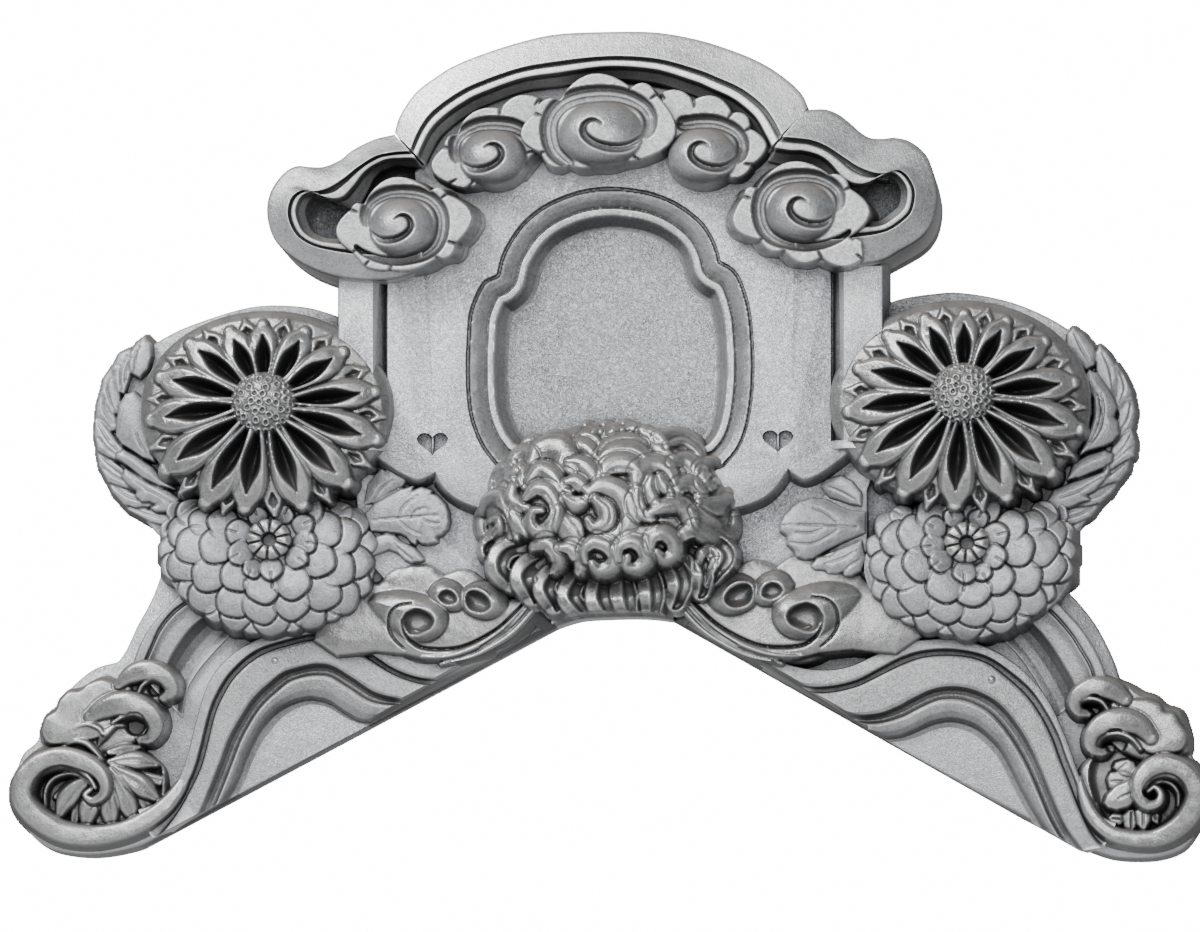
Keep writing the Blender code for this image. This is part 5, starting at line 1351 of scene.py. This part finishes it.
def carve_rows(clay, rows):
    """Carves the rows in their order."""
    for kind, shape, *values in rows:
        if kind in ("plate", "swelling"):
            ring = smooth(shape + shape[:1], len(shape) * 8)[:-1]
            top, swell, edge, *slope = values
            clay.blade(ring, top, swell, tilt=(slope[0] if slope else 0, 0), edge=edge, moat=0,
                       reach=9 if kind == "swelling" else 6)
        elif kind == "shelf":
            clay.blade(shape, values[0], values[1], tilt=(values[3], 0), edge=values[2], moat=0)
        elif kind == "line":
            clay.groove(shape, values[0], values[1], 1.6)
        elif kind == "leaf":
            clay.blade(shape, values[0], 2, veins=values[1])
        elif kind == "curl":
            clay.stroke(shape, [CURL_WIDER * w for w in values[0]], values[1], FLAT, dome=2, moat=1.2)
        elif kind == "ridge":
            clay.stroke(shape, values[0], values[1], RIDGE)
        elif kind == "petal":
            clay.stroke(shape, [PETAL_WIDENING * w for w in values[0]], values[1], PETAL, moat=1)
        elif kind == "pit":
            clay.pit(shape, *values)
        elif kind == "bowl":
            clay.sink(shape, *values)


def scrolls(name, rows, base, seed):
    """Plates, curls and ridges, carved in their order."""
    spots = np.array([p for kind, shape, *_ in rows if kind != "pit" for p in shape])
    clay = Carving(spots.min(0) - 16, spots.max(0) + 16, base, 0.9)
    carve_rows(clay, rows)
    return clay.solid(name, seed, ratio=0.6)


# ---------------------------------------------------------------- feet
PETAL = [(-1, -5), (-0.8, -1), (-0.4, 0), (-0.1, -0.8), (0.1, -0.8), (0.4, 0), (0.8, -1), (1, -5)]
FOOT_ROWS_LEFT = [
    # the disc of the foot and the bowl sunk in it
    ("plate", [(-595, -176), (-590, -161), (-578, -148), (-562, -140), (-536, -138), (-506, -144),
     (-476, -148), (-448, -161), (-442, -186), (-446, -208), (-466, -224), (-494, -238), (-522, -242),
     (-548, -240), (-570, -228), (-586, -210), (-594, -192)], 84, 4, 6),
    ("bowl", [(-577, -188), (-573, -172), (-557, -162), (-532, -160), (-507, -156), (-482, -140),
     (-457, -141), (-447, -161), (-447, -191), (-452, -208), (-469, -218), (-496, -230), (-523, -235),
     (-544, -232), (-563, -222), (-574, -206)], 70, 8),
    ("plate", [(-569, -125), (-564, -112), (-552, -102), (-550, -95), (-540, -86), (-528, -83), (-516, -76),
     (-504, -72), (-494, -75), (-482, -65), (-456, -65), (-446, -97), (-466, -132), (-494, -149),
     (-526, -147), (-554, -145), (-568, -137)], 90, 2, 5),
    ("plate", [(-567, -127), (-563, -114), (-553, -107), (-549, -97), (-540, -88), (-529, -87), (-520, -80),
     (-506, -76), (-494, -79), (-484, -77), (-476, -87), (-474, -102), (-488, -119), (-506, -133),
     (-530, -139), (-556, -141), (-564, -135)], 100, 2, 2),
    ("curl", [(-489, -82), (-479, -73), (-465, -68), (-450, -69), (-439, -77), (-436, -88), (-444, -95)],
     [10, 17, 20, 20, 18, 15, 9], [104, 108, 110, 109, 106, 100]),
    ("curl", [(-517, -114), (-504, -106), (-487, -101), (-469, -103), (-455, -112), (-451, -124),
     (-457, -135), (-467, -137)], [14, 20, 23, 23, 20, 17, 13, 8], [104, 110, 113, 112, 108, 100]),
    ("pit", (-454, -86), 6, 80),
    ("pit", (-473, -122), 9, 78),
    ("ridge", [(-469, -90), (-465, -82), (-455, -77), (-444, -81), (-441, -90), (-447, -95)], [3, 4, 4],
     [106, 107, 100]),
    ("ridge", [(-495, -120), (-485, -114), (-472, -111), (-460, -117), (-457, -128), (-464, -136)], [3, 5,
     4], [108, 109, 100]),
    ("ridge", [(-541, -135), (-533, -125), (-521, -121), (-509, -125), (-503, -131), (-493, -123),
     (-485, -122)], [4, 6, 6, 5, 3], [100, 104, 105, 102]),
    ("ridge", [(-510, -142), (-504, -131), (-494, -123)], [4, 9, 4], [94, 103, 104]),
    ("ridge", [(-546, -143), (-534, -138), (-522, -140), (-512, -149), (-506, -157)], [4, 6, 6, 4], [98,
     104, 102]),
    # half a daisy
    ("petal", [(-499, -149), (-486, -147), (-468, -143)], [5, 11, 3], [98, 94, 88]),
    ("petal", [(-496, -163), (-474, -171), (-449, -177)], [5, 11, 10], [92, 88, 82]),
    ("petal", [(-494, -169), (-478, -187), (-459, -205)], [5, 10, 11], [92, 88, 82]),
    ("petal", [(-500, -169), (-490, -197), (-485, -225)], [4, 8, 11, 6], [92, 88, 82]),
    ("petal", [(-506, -171), (-510, -202), (-508, -229)], [4, 8, 12, 5], [92, 88, 82]),
    ("petal", [(-512, -173), (-530, -197), (-536, -221)], [4, 8, 10, 7], [92, 88, 82]),
    ("petal", [(-516, -169), (-540, -182), (-554, -193)], [4, 8, 5], [92, 88, 82]),
    ("petal", [(-498, -159), (-478, -157), (-464, -158), (-453, -161)], [6, 13, 15, 5], [100, 99, 97, 90]),
    ("petal", [(-496, -165), (-476, -177), (-462, -187), (-450, -197)], [7, 15, 17, 5], [100, 99, 96, 89]),
    ("petal", [(-497, -169), (-488, -187), (-481, -201), (-475, -218)], [7, 13, 17, 7], [100, 98, 95, 89]),
    ("petal", [(-502, -173), (-500, -193), (-499, -208), (-497, -225)], [6, 12, 16, 8], [100, 98, 95, 89]),
    ("petal", [(-509, -175), (-516, -193), (-520, -207), (-523, -223)], [6, 12, 17, 8], [100, 98, 95, 89]),
    ("petal", [(-516, -173), (-534, -187), (-544, -199), (-551, -214)], [6, 14, 16, 5], [100, 97, 94, 88]),
    # the great scroll
    ("curl", [(-415, -146), (-424, -176), (-442, -202), (-467, -220), (-493, -230), (-521, -233),
     (-549, -228), (-571, -215), (-584, -200), (-587, -185), (-581, -171), (-567, -159), (-547, -154),
     (-527, -158), (-510, -167), (-502, -180), (-504, -192), (-514, -198), (-522, -193), (-517, -187)], [3,
     7, 12, 15, 17, 18, 18, 19, 20, 21, 21, 21, 21, 20, 19, 18, 18, 18, 15, 11, 8, 5], [88, 91, 95, 97, 98,
     99, 100, 102, 104, 107, 109, 111, 113, 115, 115, 112, 106]),
    ("ridge", [(-573, -209), (-577, -193), (-574, -178), (-564, -168), (-548, -164), (-532, -166),
     (-518, -175), (-512, -185)], [3, 5, 5, 4], [90, 102, 108, 110]),
    ("ridge", [(-564, -205), (-564, -187), (-556, -175), (-540, -170), (-526, -174), (-516, -183)], [3, 4,
     3], [84, 94, 102]),
    ("ridge", [(-570, -205), (-560, -221), (-543, -230), (-522, -233), (-496, -229), (-470, -217),
     (-450, -199)], [3, 4, 4, 3], [92, 93, 92, 91]),
]
FOOT_ROWS_RIGHT = [
    ("plate", [(592, -186), (590, -211), (576, -234), (554, -245), (524, -248), (498, -242), (478, -222),
     (470, -196), (474, -166), (494, -152), (524, -148), (554, -146), (580, -158)], 84, 4, 6),
    ("bowl", [(579, -196), (571, -214), (557, -227), (539, -234), (517, -232), (499, -222), (489, -202),
     (483, -176), (489, -156), (513, -144), (533, -148), (543, -166), (573, -176)], 70, 8),
    ("plate", [(500, -91), (512, -82), (524, -85), (536, -92), (550, -97), (560, -106), (574, -111),
     (580, -125), (583, -139), (580, -153), (558, -161), (534, -159), (510, -145), (494, -122)], 90, 2, 5),
    ("plate", [(506, -97), (516, -89), (526, -99), (542, -100), (554, -105), (558, -112), (568, -114),
     (574, -124), (581, -135), (578, -147), (570, -153), (550, -155), (536, -149), (518, -133),
     (506, -117)], 100, 2, 2),
    ("curl", [(519, -100), (507, -91), (491, -87), (476, -92), (469, -102), (473, -112), (482, -114)], [14,
     19, 20, 18, 15, 12, 8], [104, 108, 110, 109, 106, 100]),
    ("curl", [(545, -138), (533, -126), (515, -121), (497, -125), (486, -136), (486, -148), (496, -153),
     (504, -148)], [15, 20, 23, 22, 18, 14, 10, 5], [104, 110, 113, 112, 108, 100]),
    ("pit", (489, -105), 7, 80),
    ("pit", (510, -143), 10, 78),
    ("ridge", [(502, -110), (496, -102), (485, -99), (475, -102), (473, -110), (479, -114)], [3, 5, 4],
     [106, 107, 100]),
    ("ridge", [(535, -150), (527, -140), (514, -134), (499, -136), (492, -144), (495, -151)], [3, 5, 4],
     [108, 109, 100]),
    ("leaf", [(507, -167), (509, -162), (515, -160), (522, -159), (528, -162), (532, -170), (528, -178),
     (516, -175)], 88, [[(512, -170), (518, -165), (522, -162)]]),
    ("leaf", [(501, -178), (504, -172), (511, -171), (520, -173), (530, -181), (526, -189), (510, -193),
     (503, -187)], 86, [[(504, -181), (516, -181), (526, -185)]]),
    ("leaf", [(502, -217), (507, -212), (516, -213), (521, -220), (513, -225), (505, -223)], 82,
     [[(505, -218), (511, -218), (518, -219)]]),
    ("leaf", [(516, -215), (522, -209), (532, -209), (532, -223), (524, -234), (518, -226)], 85,
     [[(525, -211), (525, -221), (525, -230)]]),
    ("leaf", [(544, -210), (550, -208), (553, -215), (552, -224), (545, -221)], 85, [[(548, -211),
     (549, -216), (549, -221)]]),
    ("leaf", [(529, -211), (536, -207), (545, -210), (544, -221), (538, -232), (531, -224)], 92,
     [[(537, -211), (537, -221), (537, -228)]]),
    ("leaf", [(498, -203), (501, -195), (510, -186), (524, -180), (532, -189), (530, -201), (522, -207),
     (511, -210), (502, -208)], 98, [[(512, -199), (520, -195), (528, -193)]]),
    ("curl", [(473, -178), (479, -200), (489, -219), (505, -233), (525, -239), (549, -239), (569, -230),
     (584, -215), (591, -197), (587, -181), (575, -169), (559, -165), (544, -170), (534, -182), (533, -196),
     (541, -206), (552, -204), (555, -195), (549, -188), (542, -192)], [6, 10, 13, 14, 15, 16, 17, 19, 20,
     20, 19, 19, 19, 19, 16, 13, 10, 7, 4], [92, 95, 97, 99, 101, 104, 108, 111, 113, 115, 115, 112, 106]),
    ("ridge", [(583, -209), (582, -193), (574, -181), (560, -176), (546, -180), (538, -189)], [3, 5, 5, 4],
     [92, 104, 109, 111]),
    ("ridge", [(572, -205), (572, -193), (565, -184), (555, -182), (546, -186)], [3, 4, 3], [84, 96, 103]),
    ("ridge", [(474, -177), (480, -203), (492, -227), (514, -239), (540, -242), (564, -234), (580, -217),
     (585, -201)], [3, 5, 6, 5, 4], [84, 90, 92, 92]),
    ("ridge", [(490, -203), (500, -223), (520, -233), (542, -235), (560, -227), (571, -212)], [3, 4, 3],
     [86, 88, 88]),
]
# name, rows, base, seed
SCROLL_GROUPS = [
    ("waves_left", WAVES_LEFT, 60, 240),
    ("waves_right", mirrored_rows(WAVES_LEFT), 60, 250),
    ("foot_left", FOOT_ROWS_LEFT, 50, 260),
    ("foot_right", FOOT_ROWS_RIGHT, 50, 270),
]
NAIL_HEADS = [
    ("nail_left", (-333, -57)),
    ("nail_right", (386, -79)),
]


def nail_head(name, centre):
    """A low round boss."""
    radius, reach = 5.5, 10
    clay = Carving((centre[0] - reach, centre[1] - reach), (centre[0] + reach, centre[1] + reach),
                   80, 0.6)
    clay.dome(centre, (radius, radius), 84, 5)
    return clay.solid(name, 280)


# ---------------------------------------------------------------- finish
# name, darker and lighter tone, fleck, roughness from and to, metal, how rough the face is
FINISHES = {
    "plain": ((0.225, 0.231, 0.243), (0.35, 0.36, 0.378), 0.5, (0.33, 0.45), 0.6, 1.2),
    # a copy of the same clay painted lighter, as painted light, for the crown
    "painted_lit": ((0.50, 0.504, 0.51), (0.66, 0.665, 0.673), 0.25, (0.30, 0.40), 0.6, 0.5),
    "worn": ((0.195, 0.199, 0.206), (0.305, 0.31, 0.32), 0.35, (0.34, 0.46), 0.55, 0.5),
    "dark": ((0.165, 0.168, 0.172), (0.265, 0.268, 0.274), 0.35, (0.32, 0.42), 0.6, 0.5),
    "brushed": ((0.23, 0.233, 0.238), (0.34, 0.344, 0.352), 0.4, (0.31, 0.42), 0.6, 0.45),
    "burnished": ((0.18, 0.181, 0.183), (0.28, 0.281, 0.284), 0.35, (0.26, 0.36), 0.75, 0.3),
}


DUST = (0.33, 0.295, 0.255)
# painted shade, near black, for the hollows
PAINTED_HOLLOW_SHADE = (0.03, 0.03, 0.032)
# painted shade, near black, for faces that look down
PAINTED_UNDERSIDE_SHADE = (0.04, 0.04, 0.043)
# near white for edges: partly wear, partly a painted highlight
EDGE_WEAR_AND_PAINTED_HIGHLIGHT = (0.80, 0.81, 0.83)
DULL = (0.7, 0.7, 0.7)      # roughness of dust and of the hollows under painted shade


def clay_material(name):
    """Smoked clay: a metallic grey skin over pitted clay, painted shade in the hollows and under
    faces that look down, and edges painted lighter, partly as wear and partly as a painted highlight."""
    dark, light, flecks, rough, metal, relief_strength = FINISHES[name]
    material = bpy.data.materials.new("smoked_clay_" + name)
    material.use_nodes = True
    tree = material.node_tree
    nodes, links = tree.nodes, tree.links
    shader = nodes["Principled BSDF"]

    def node(kind, **values):
        made = nodes.new(kind)
        for key, value in values.items():
            setattr(made, key, value)
        return made

    def ramp(source, stops):
        made = node("ShaderNodeValToRGB")
        elements = made.color_ramp.elements
        while len(elements) < len(stops):
            elements.new(0.5)
        for element, (place, colour) in zip(elements, stops):
            element.position = place
            element.color = (*colour, 1)
        links.new(source, made.inputs[0])
        return made.outputs[0]

    def grey(value):
        return (value, value, value)

    def noise(scale, detail=4.0, roughness=0.55, stretch=(1, 1, 1), swirl=0.0):
        mapping = node("ShaderNodeMapping")
        mapping.inputs["Scale"].default_value = stretch
        links.new(place.outputs["Object"], mapping.inputs["Vector"])
        made = node("ShaderNodeTexNoise")
        made.inputs["Scale"].default_value = scale
        made.inputs["Detail"].default_value = detail
        made.inputs["Roughness"].default_value = roughness
        made.inputs["Distortion"].default_value = swirl
        links.new(mapping.outputs[0], made.inputs["Vector"])
        return made.outputs["Fac"]

    def blend(factor, first, second, kind='MIX'):
        made = node("ShaderNodeMix", data_type='RGBA', blend_type=kind)
        for socket, value in ((made.inputs[0], factor), (made.inputs[6], first),
                              (made.inputs[7], second)):
            if hasattr(value, "links"):
                links.new(value, socket)
            elif isinstance(value, tuple):
                socket.default_value = (*value, 1)
            else:
                socket.default_value = value
        return made.outputs[2]

    def math(operation, first, second, third=0.5):
        made = node("ShaderNodeMath", operation=operation)
        for socket, value in zip(made.inputs, (first, second, third)):
            if hasattr(value, "links"):
                links.new(value, socket)
            else:
                socket.default_value = value
        return made.outputs[0]

    place = node("ShaderNodeTexCoord")
    geometry = node("ShaderNodeNewGeometry")
    hollow = node("ShaderNodeAmbientOcclusion", samples=5)
    hollow.inputs["Distance"].default_value = 0.03

    mottle = noise(14.0, 6.0, 0.6)
    grain = noise(230.0, 3.0, 0.55, swirl=2.2)
    streaks = noise(60.0, 3.0, 0.5, (1.0, 1.0, 6.0))
    base = blend(ramp(mottle, [(0.35, grey(0)), (0.65, grey(1))]), dark, light)
    base = blend(ramp(grain, [(0.42, grey(0)), (0.6, grey(flecks))]), base,
                 tuple(1.45 * c for c in light))
    base = blend(ramp(grain, [(0.36, grey(flecks)), (0.46, grey(0))]), base,
                 tuple(0.62 * c for c in dark))
    base = blend(ramp(streaks, [(0.4, grey(0)), (0.75, grey(0.3))]), base, dark)
    # dust lies on what faces up
    facing = node("ShaderNodeSeparateXYZ")
    links.new(geometry.outputs["Normal"], facing.inputs[0])
    upward = math('MULTIPLY_ADD', facing.outputs["Z"], 0.5)
    dust = math('MULTIPLY', ramp(upward, [(0.7, grey(0)), (0.93, grey(1))]),
                ramp(noise(30.0, 5.0), [(0.35, grey(0.3)), (0.65, grey(0.85))]))
    base = blend(dust, base, DUST)
    # painted shade: the hollows that ambient occlusion finds are darkened to near black
    shade = ramp(hollow.outputs["AO"], [(0.05, grey(1)), (0.35, grey(0.55)), (0.75, grey(0))])
    base = blend(shade, base, PAINTED_HOLLOW_SHADE)
    # painted shade: faces that look down are darkened towards near black
    under = ramp(upward, [(0.1, grey(1)), (0.34, grey(0))])
    base = blend(math('MULTIPLY', under, 0.8), base, PAINTED_UNDERSIDE_SHADE)
    # edges are painted lighter: partly wear from pressing and handling, partly a painted highlight
    edge = ramp(geometry.outputs["Pointiness"], [(0.505, grey(0)), (0.58, grey(0.7))])
    base = blend(edge, base, EDGE_WEAR_AND_PAINTED_HIGHLIGHT)
    links.new(base, shader.inputs["Base Color"])

    gloss = ramp(mottle, [(0.3, grey(rough[0])), (0.7, grey(rough[1]))])
    gloss = blend(shade, gloss, DULL)
    gloss = blend(dust, gloss, DULL)
    links.new(gloss, shader.inputs["Roughness"])
    shader.inputs["Metallic"].default_value = metal
    pits = node("ShaderNodeTexVoronoi", feature='F1')
    pits.inputs["Scale"].default_value = 260.0
    links.new(place.outputs["Object"], pits.inputs["Vector"])
    pitted = ramp(pits.outputs["Distance"], [(0.0, grey(0)), (0.28, grey(1))])
    relief = math('ADD', math('MULTIPLY', grain, 0.8), math('MULTIPLY', pitted, 0.3))
    relief = math('ADD', relief, math('MULTIPLY', noise(90.0, 4.0), 0.8))
    bump = node("ShaderNodeBump")
    bump.inputs["Strength"].default_value = relief_strength
    bump.inputs["Distance"].default_value = 0.0012
    links.new(relief, bump.inputs["Height"])
    links.new(bump.outputs[0], shader.inputs["Normal"])
    return material


# ---------------------------------------------------------------- assembly
CLAY = {name: clay_material(name) for name in FINISHES}


def finish(body, skin_name="burnished", trim=False):
    """Gives a piece its clay and fixes it to the tile."""
    if trim:
        combine(body, 'DIFFERENCE', [notch()] + chamfers())
    body.data.materials.clear()
    body.data.materials.append(CLAY[skin_name])
    body.data.shade_smooth()
    body.data.set_sharp_from_angle(angle=radians(50))
    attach(body, "root")
    return body


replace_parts(finish(slab(), "plain"), NODE)
finish(panel(), "brushed")
# the crown has the copy of the clay painted lighter, as painted light
finish(hood("crown", CROWN_LEFT[::-1] + CROWN_RIGHT[1:],
            HOOD_INNER_LEFT[::-1] + HOOD_INNER_RIGHT[1:], 180), "painted_lit")
finish(hood("ear_left", EAR_LEFT, EAR_INNER_LEFT, 130), "brushed")
finish(hood("ear_right", EAR_RIGHT, EAR_INNER_RIGHT, 130), "brushed")
for seed, row in enumerate(CLOUDS):
    finish(cloud(*row, seed * 10), "brushed")
for row in DAISIES:
    name, _, _, hub, _, seed = row
    finish(daisy(*row))
    finish(daisy_button(name, hub, seed))
for row in ZINNIAS:
    name, button, _, base, seed = row
    finish(zinnia(*row), "worn")
    finish(zinnia_button(name, button, base, seed))
for side in (-1, 1):
    finish(leg(side), "dark", trim=True)
finish(middle_flower(), trim=True)
for row in LEAF_GROUPS:
    finish(leaves(*row), "worn")
for row in SCROLL_GROUPS:
    finish(scrolls(*row), trim=True)
for row in NAIL_HEADS:
    finish(nail_head(*row))


# ---------------------------------------------------------------- studio
FLOOR_TOP, FLOOR_BELOW, FLOOR_SIDE = -1250, -1300, 6000     # the floor stays out of the main view
WORLD_LIGHT, WORLD_SEEN = 0.22, 16.0        # strength as a light, and as a backdrop
# name, place, size and watts, in metres
LAMPS = [
    ("key_light", (-1.9, -3.1, 2.5), 1.9, 210),
    ("front_light", (0.2, -4.6, 0.9), 2.0, 130),
]
CAMERA_TARGET = (-0.004, -0.13, 0.134)
CAMERA_TURN, CAMERA_TILT, CAMERA_DISTANCE = radians(3.3), radians(-4.5), 14.0
VIEW_WIDTH = 1.2        # metres across the picture, at the target
SENSOR_WIDTH = 36


def studio_floor():
    """A plain pale floor below the tile."""
    floor = prism("floor", [(-FLOOR_SIDE, FLOOR_TOP), (FLOOR_SIDE, FLOOR_TOP),
                            (FLOOR_SIDE, FLOOR_BELOW), (-FLOOR_SIDE, FLOOR_BELOW)],
                  [(-4000, 0), (8000, 0)])
    paint = bpy.data.materials.new("floor_paint")
    paint.use_nodes = True
    shader = paint.node_tree.nodes["Principled BSDF"]
    shader.inputs["Base Color"].default_value = (0.8, 0.8, 0.8, 1)
    shader.inputs["Roughness"].default_value = 0.9
    floor.data.materials.append(paint)


def studio_light():
    """A white world that lights softly, and two large lamps above and in front."""
    scene = bpy.context.scene
    world = bpy.data.worlds.new("soft_white")
    world.use_nodes = True
    scene.world = world
    tree = world.node_tree
    light = tree.nodes["Background"]
    light.inputs[0].default_value = (1, 1, 1, 1)
    light.inputs[1].default_value = WORLD_LIGHT
    seen = tree.nodes.new("ShaderNodeBackground")
    seen.inputs[0].default_value = (1, 1, 1, 1)
    seen.inputs[1].default_value = WORLD_SEEN
    mix = tree.nodes.new("ShaderNodeMixShader")
    path = tree.nodes.new("ShaderNodeLightPath")
    tree.links.new(path.outputs["Is Camera Ray"], mix.inputs[0])
    tree.links.new(light.outputs[0], mix.inputs[1])
    tree.links.new(seen.outputs[0], mix.inputs[2])
    tree.links.new(mix.outputs[0], tree.nodes["World Output"].inputs[0])

    low, high = (Vector(c) for c in CAD_BOX)
    middle = (low + high) / 2
    for name, place, size, power in LAMPS:
        lamp = bpy.data.lights.new(name, 'AREA')
        lamp.size = size
        lamp.energy = power
        rig = bpy.data.objects.new(name, lamp)
        scene.collection.objects.link(rig)
        rig.location = place
        rig.rotation_euler = (middle - Vector(place)).to_track_quat('-Z', 'Y').to_euler()


def studio_camera():
    """The camera, far off and slightly below the tile, as in the photo."""
    camera = bpy.data.cameras.new("camera")
    eye = bpy.data.objects.new("camera", camera)
    bpy.context.scene.collection.objects.link(eye)
    away = Vector((sin(CAMERA_TURN) * cos(CAMERA_TILT), -cos(CAMERA_TURN) * cos(CAMERA_TILT),
                   sin(CAMERA_TILT)))
    eye.location = Vector(CAMERA_TARGET) + away * CAMERA_DISTANCE
    eye.rotation_euler = (-away).to_track_quat('-Z', 'Y').to_euler()
    camera.sensor_width = SENSOR_WIDTH
    camera.lens = SENSOR_WIDTH * CAMERA_DISTANCE / VIEW_WIDTH
    camera.clip_end = 50
    bpy.context.scene.camera = eye


studio_floor()
studio_light()
studio_camera()
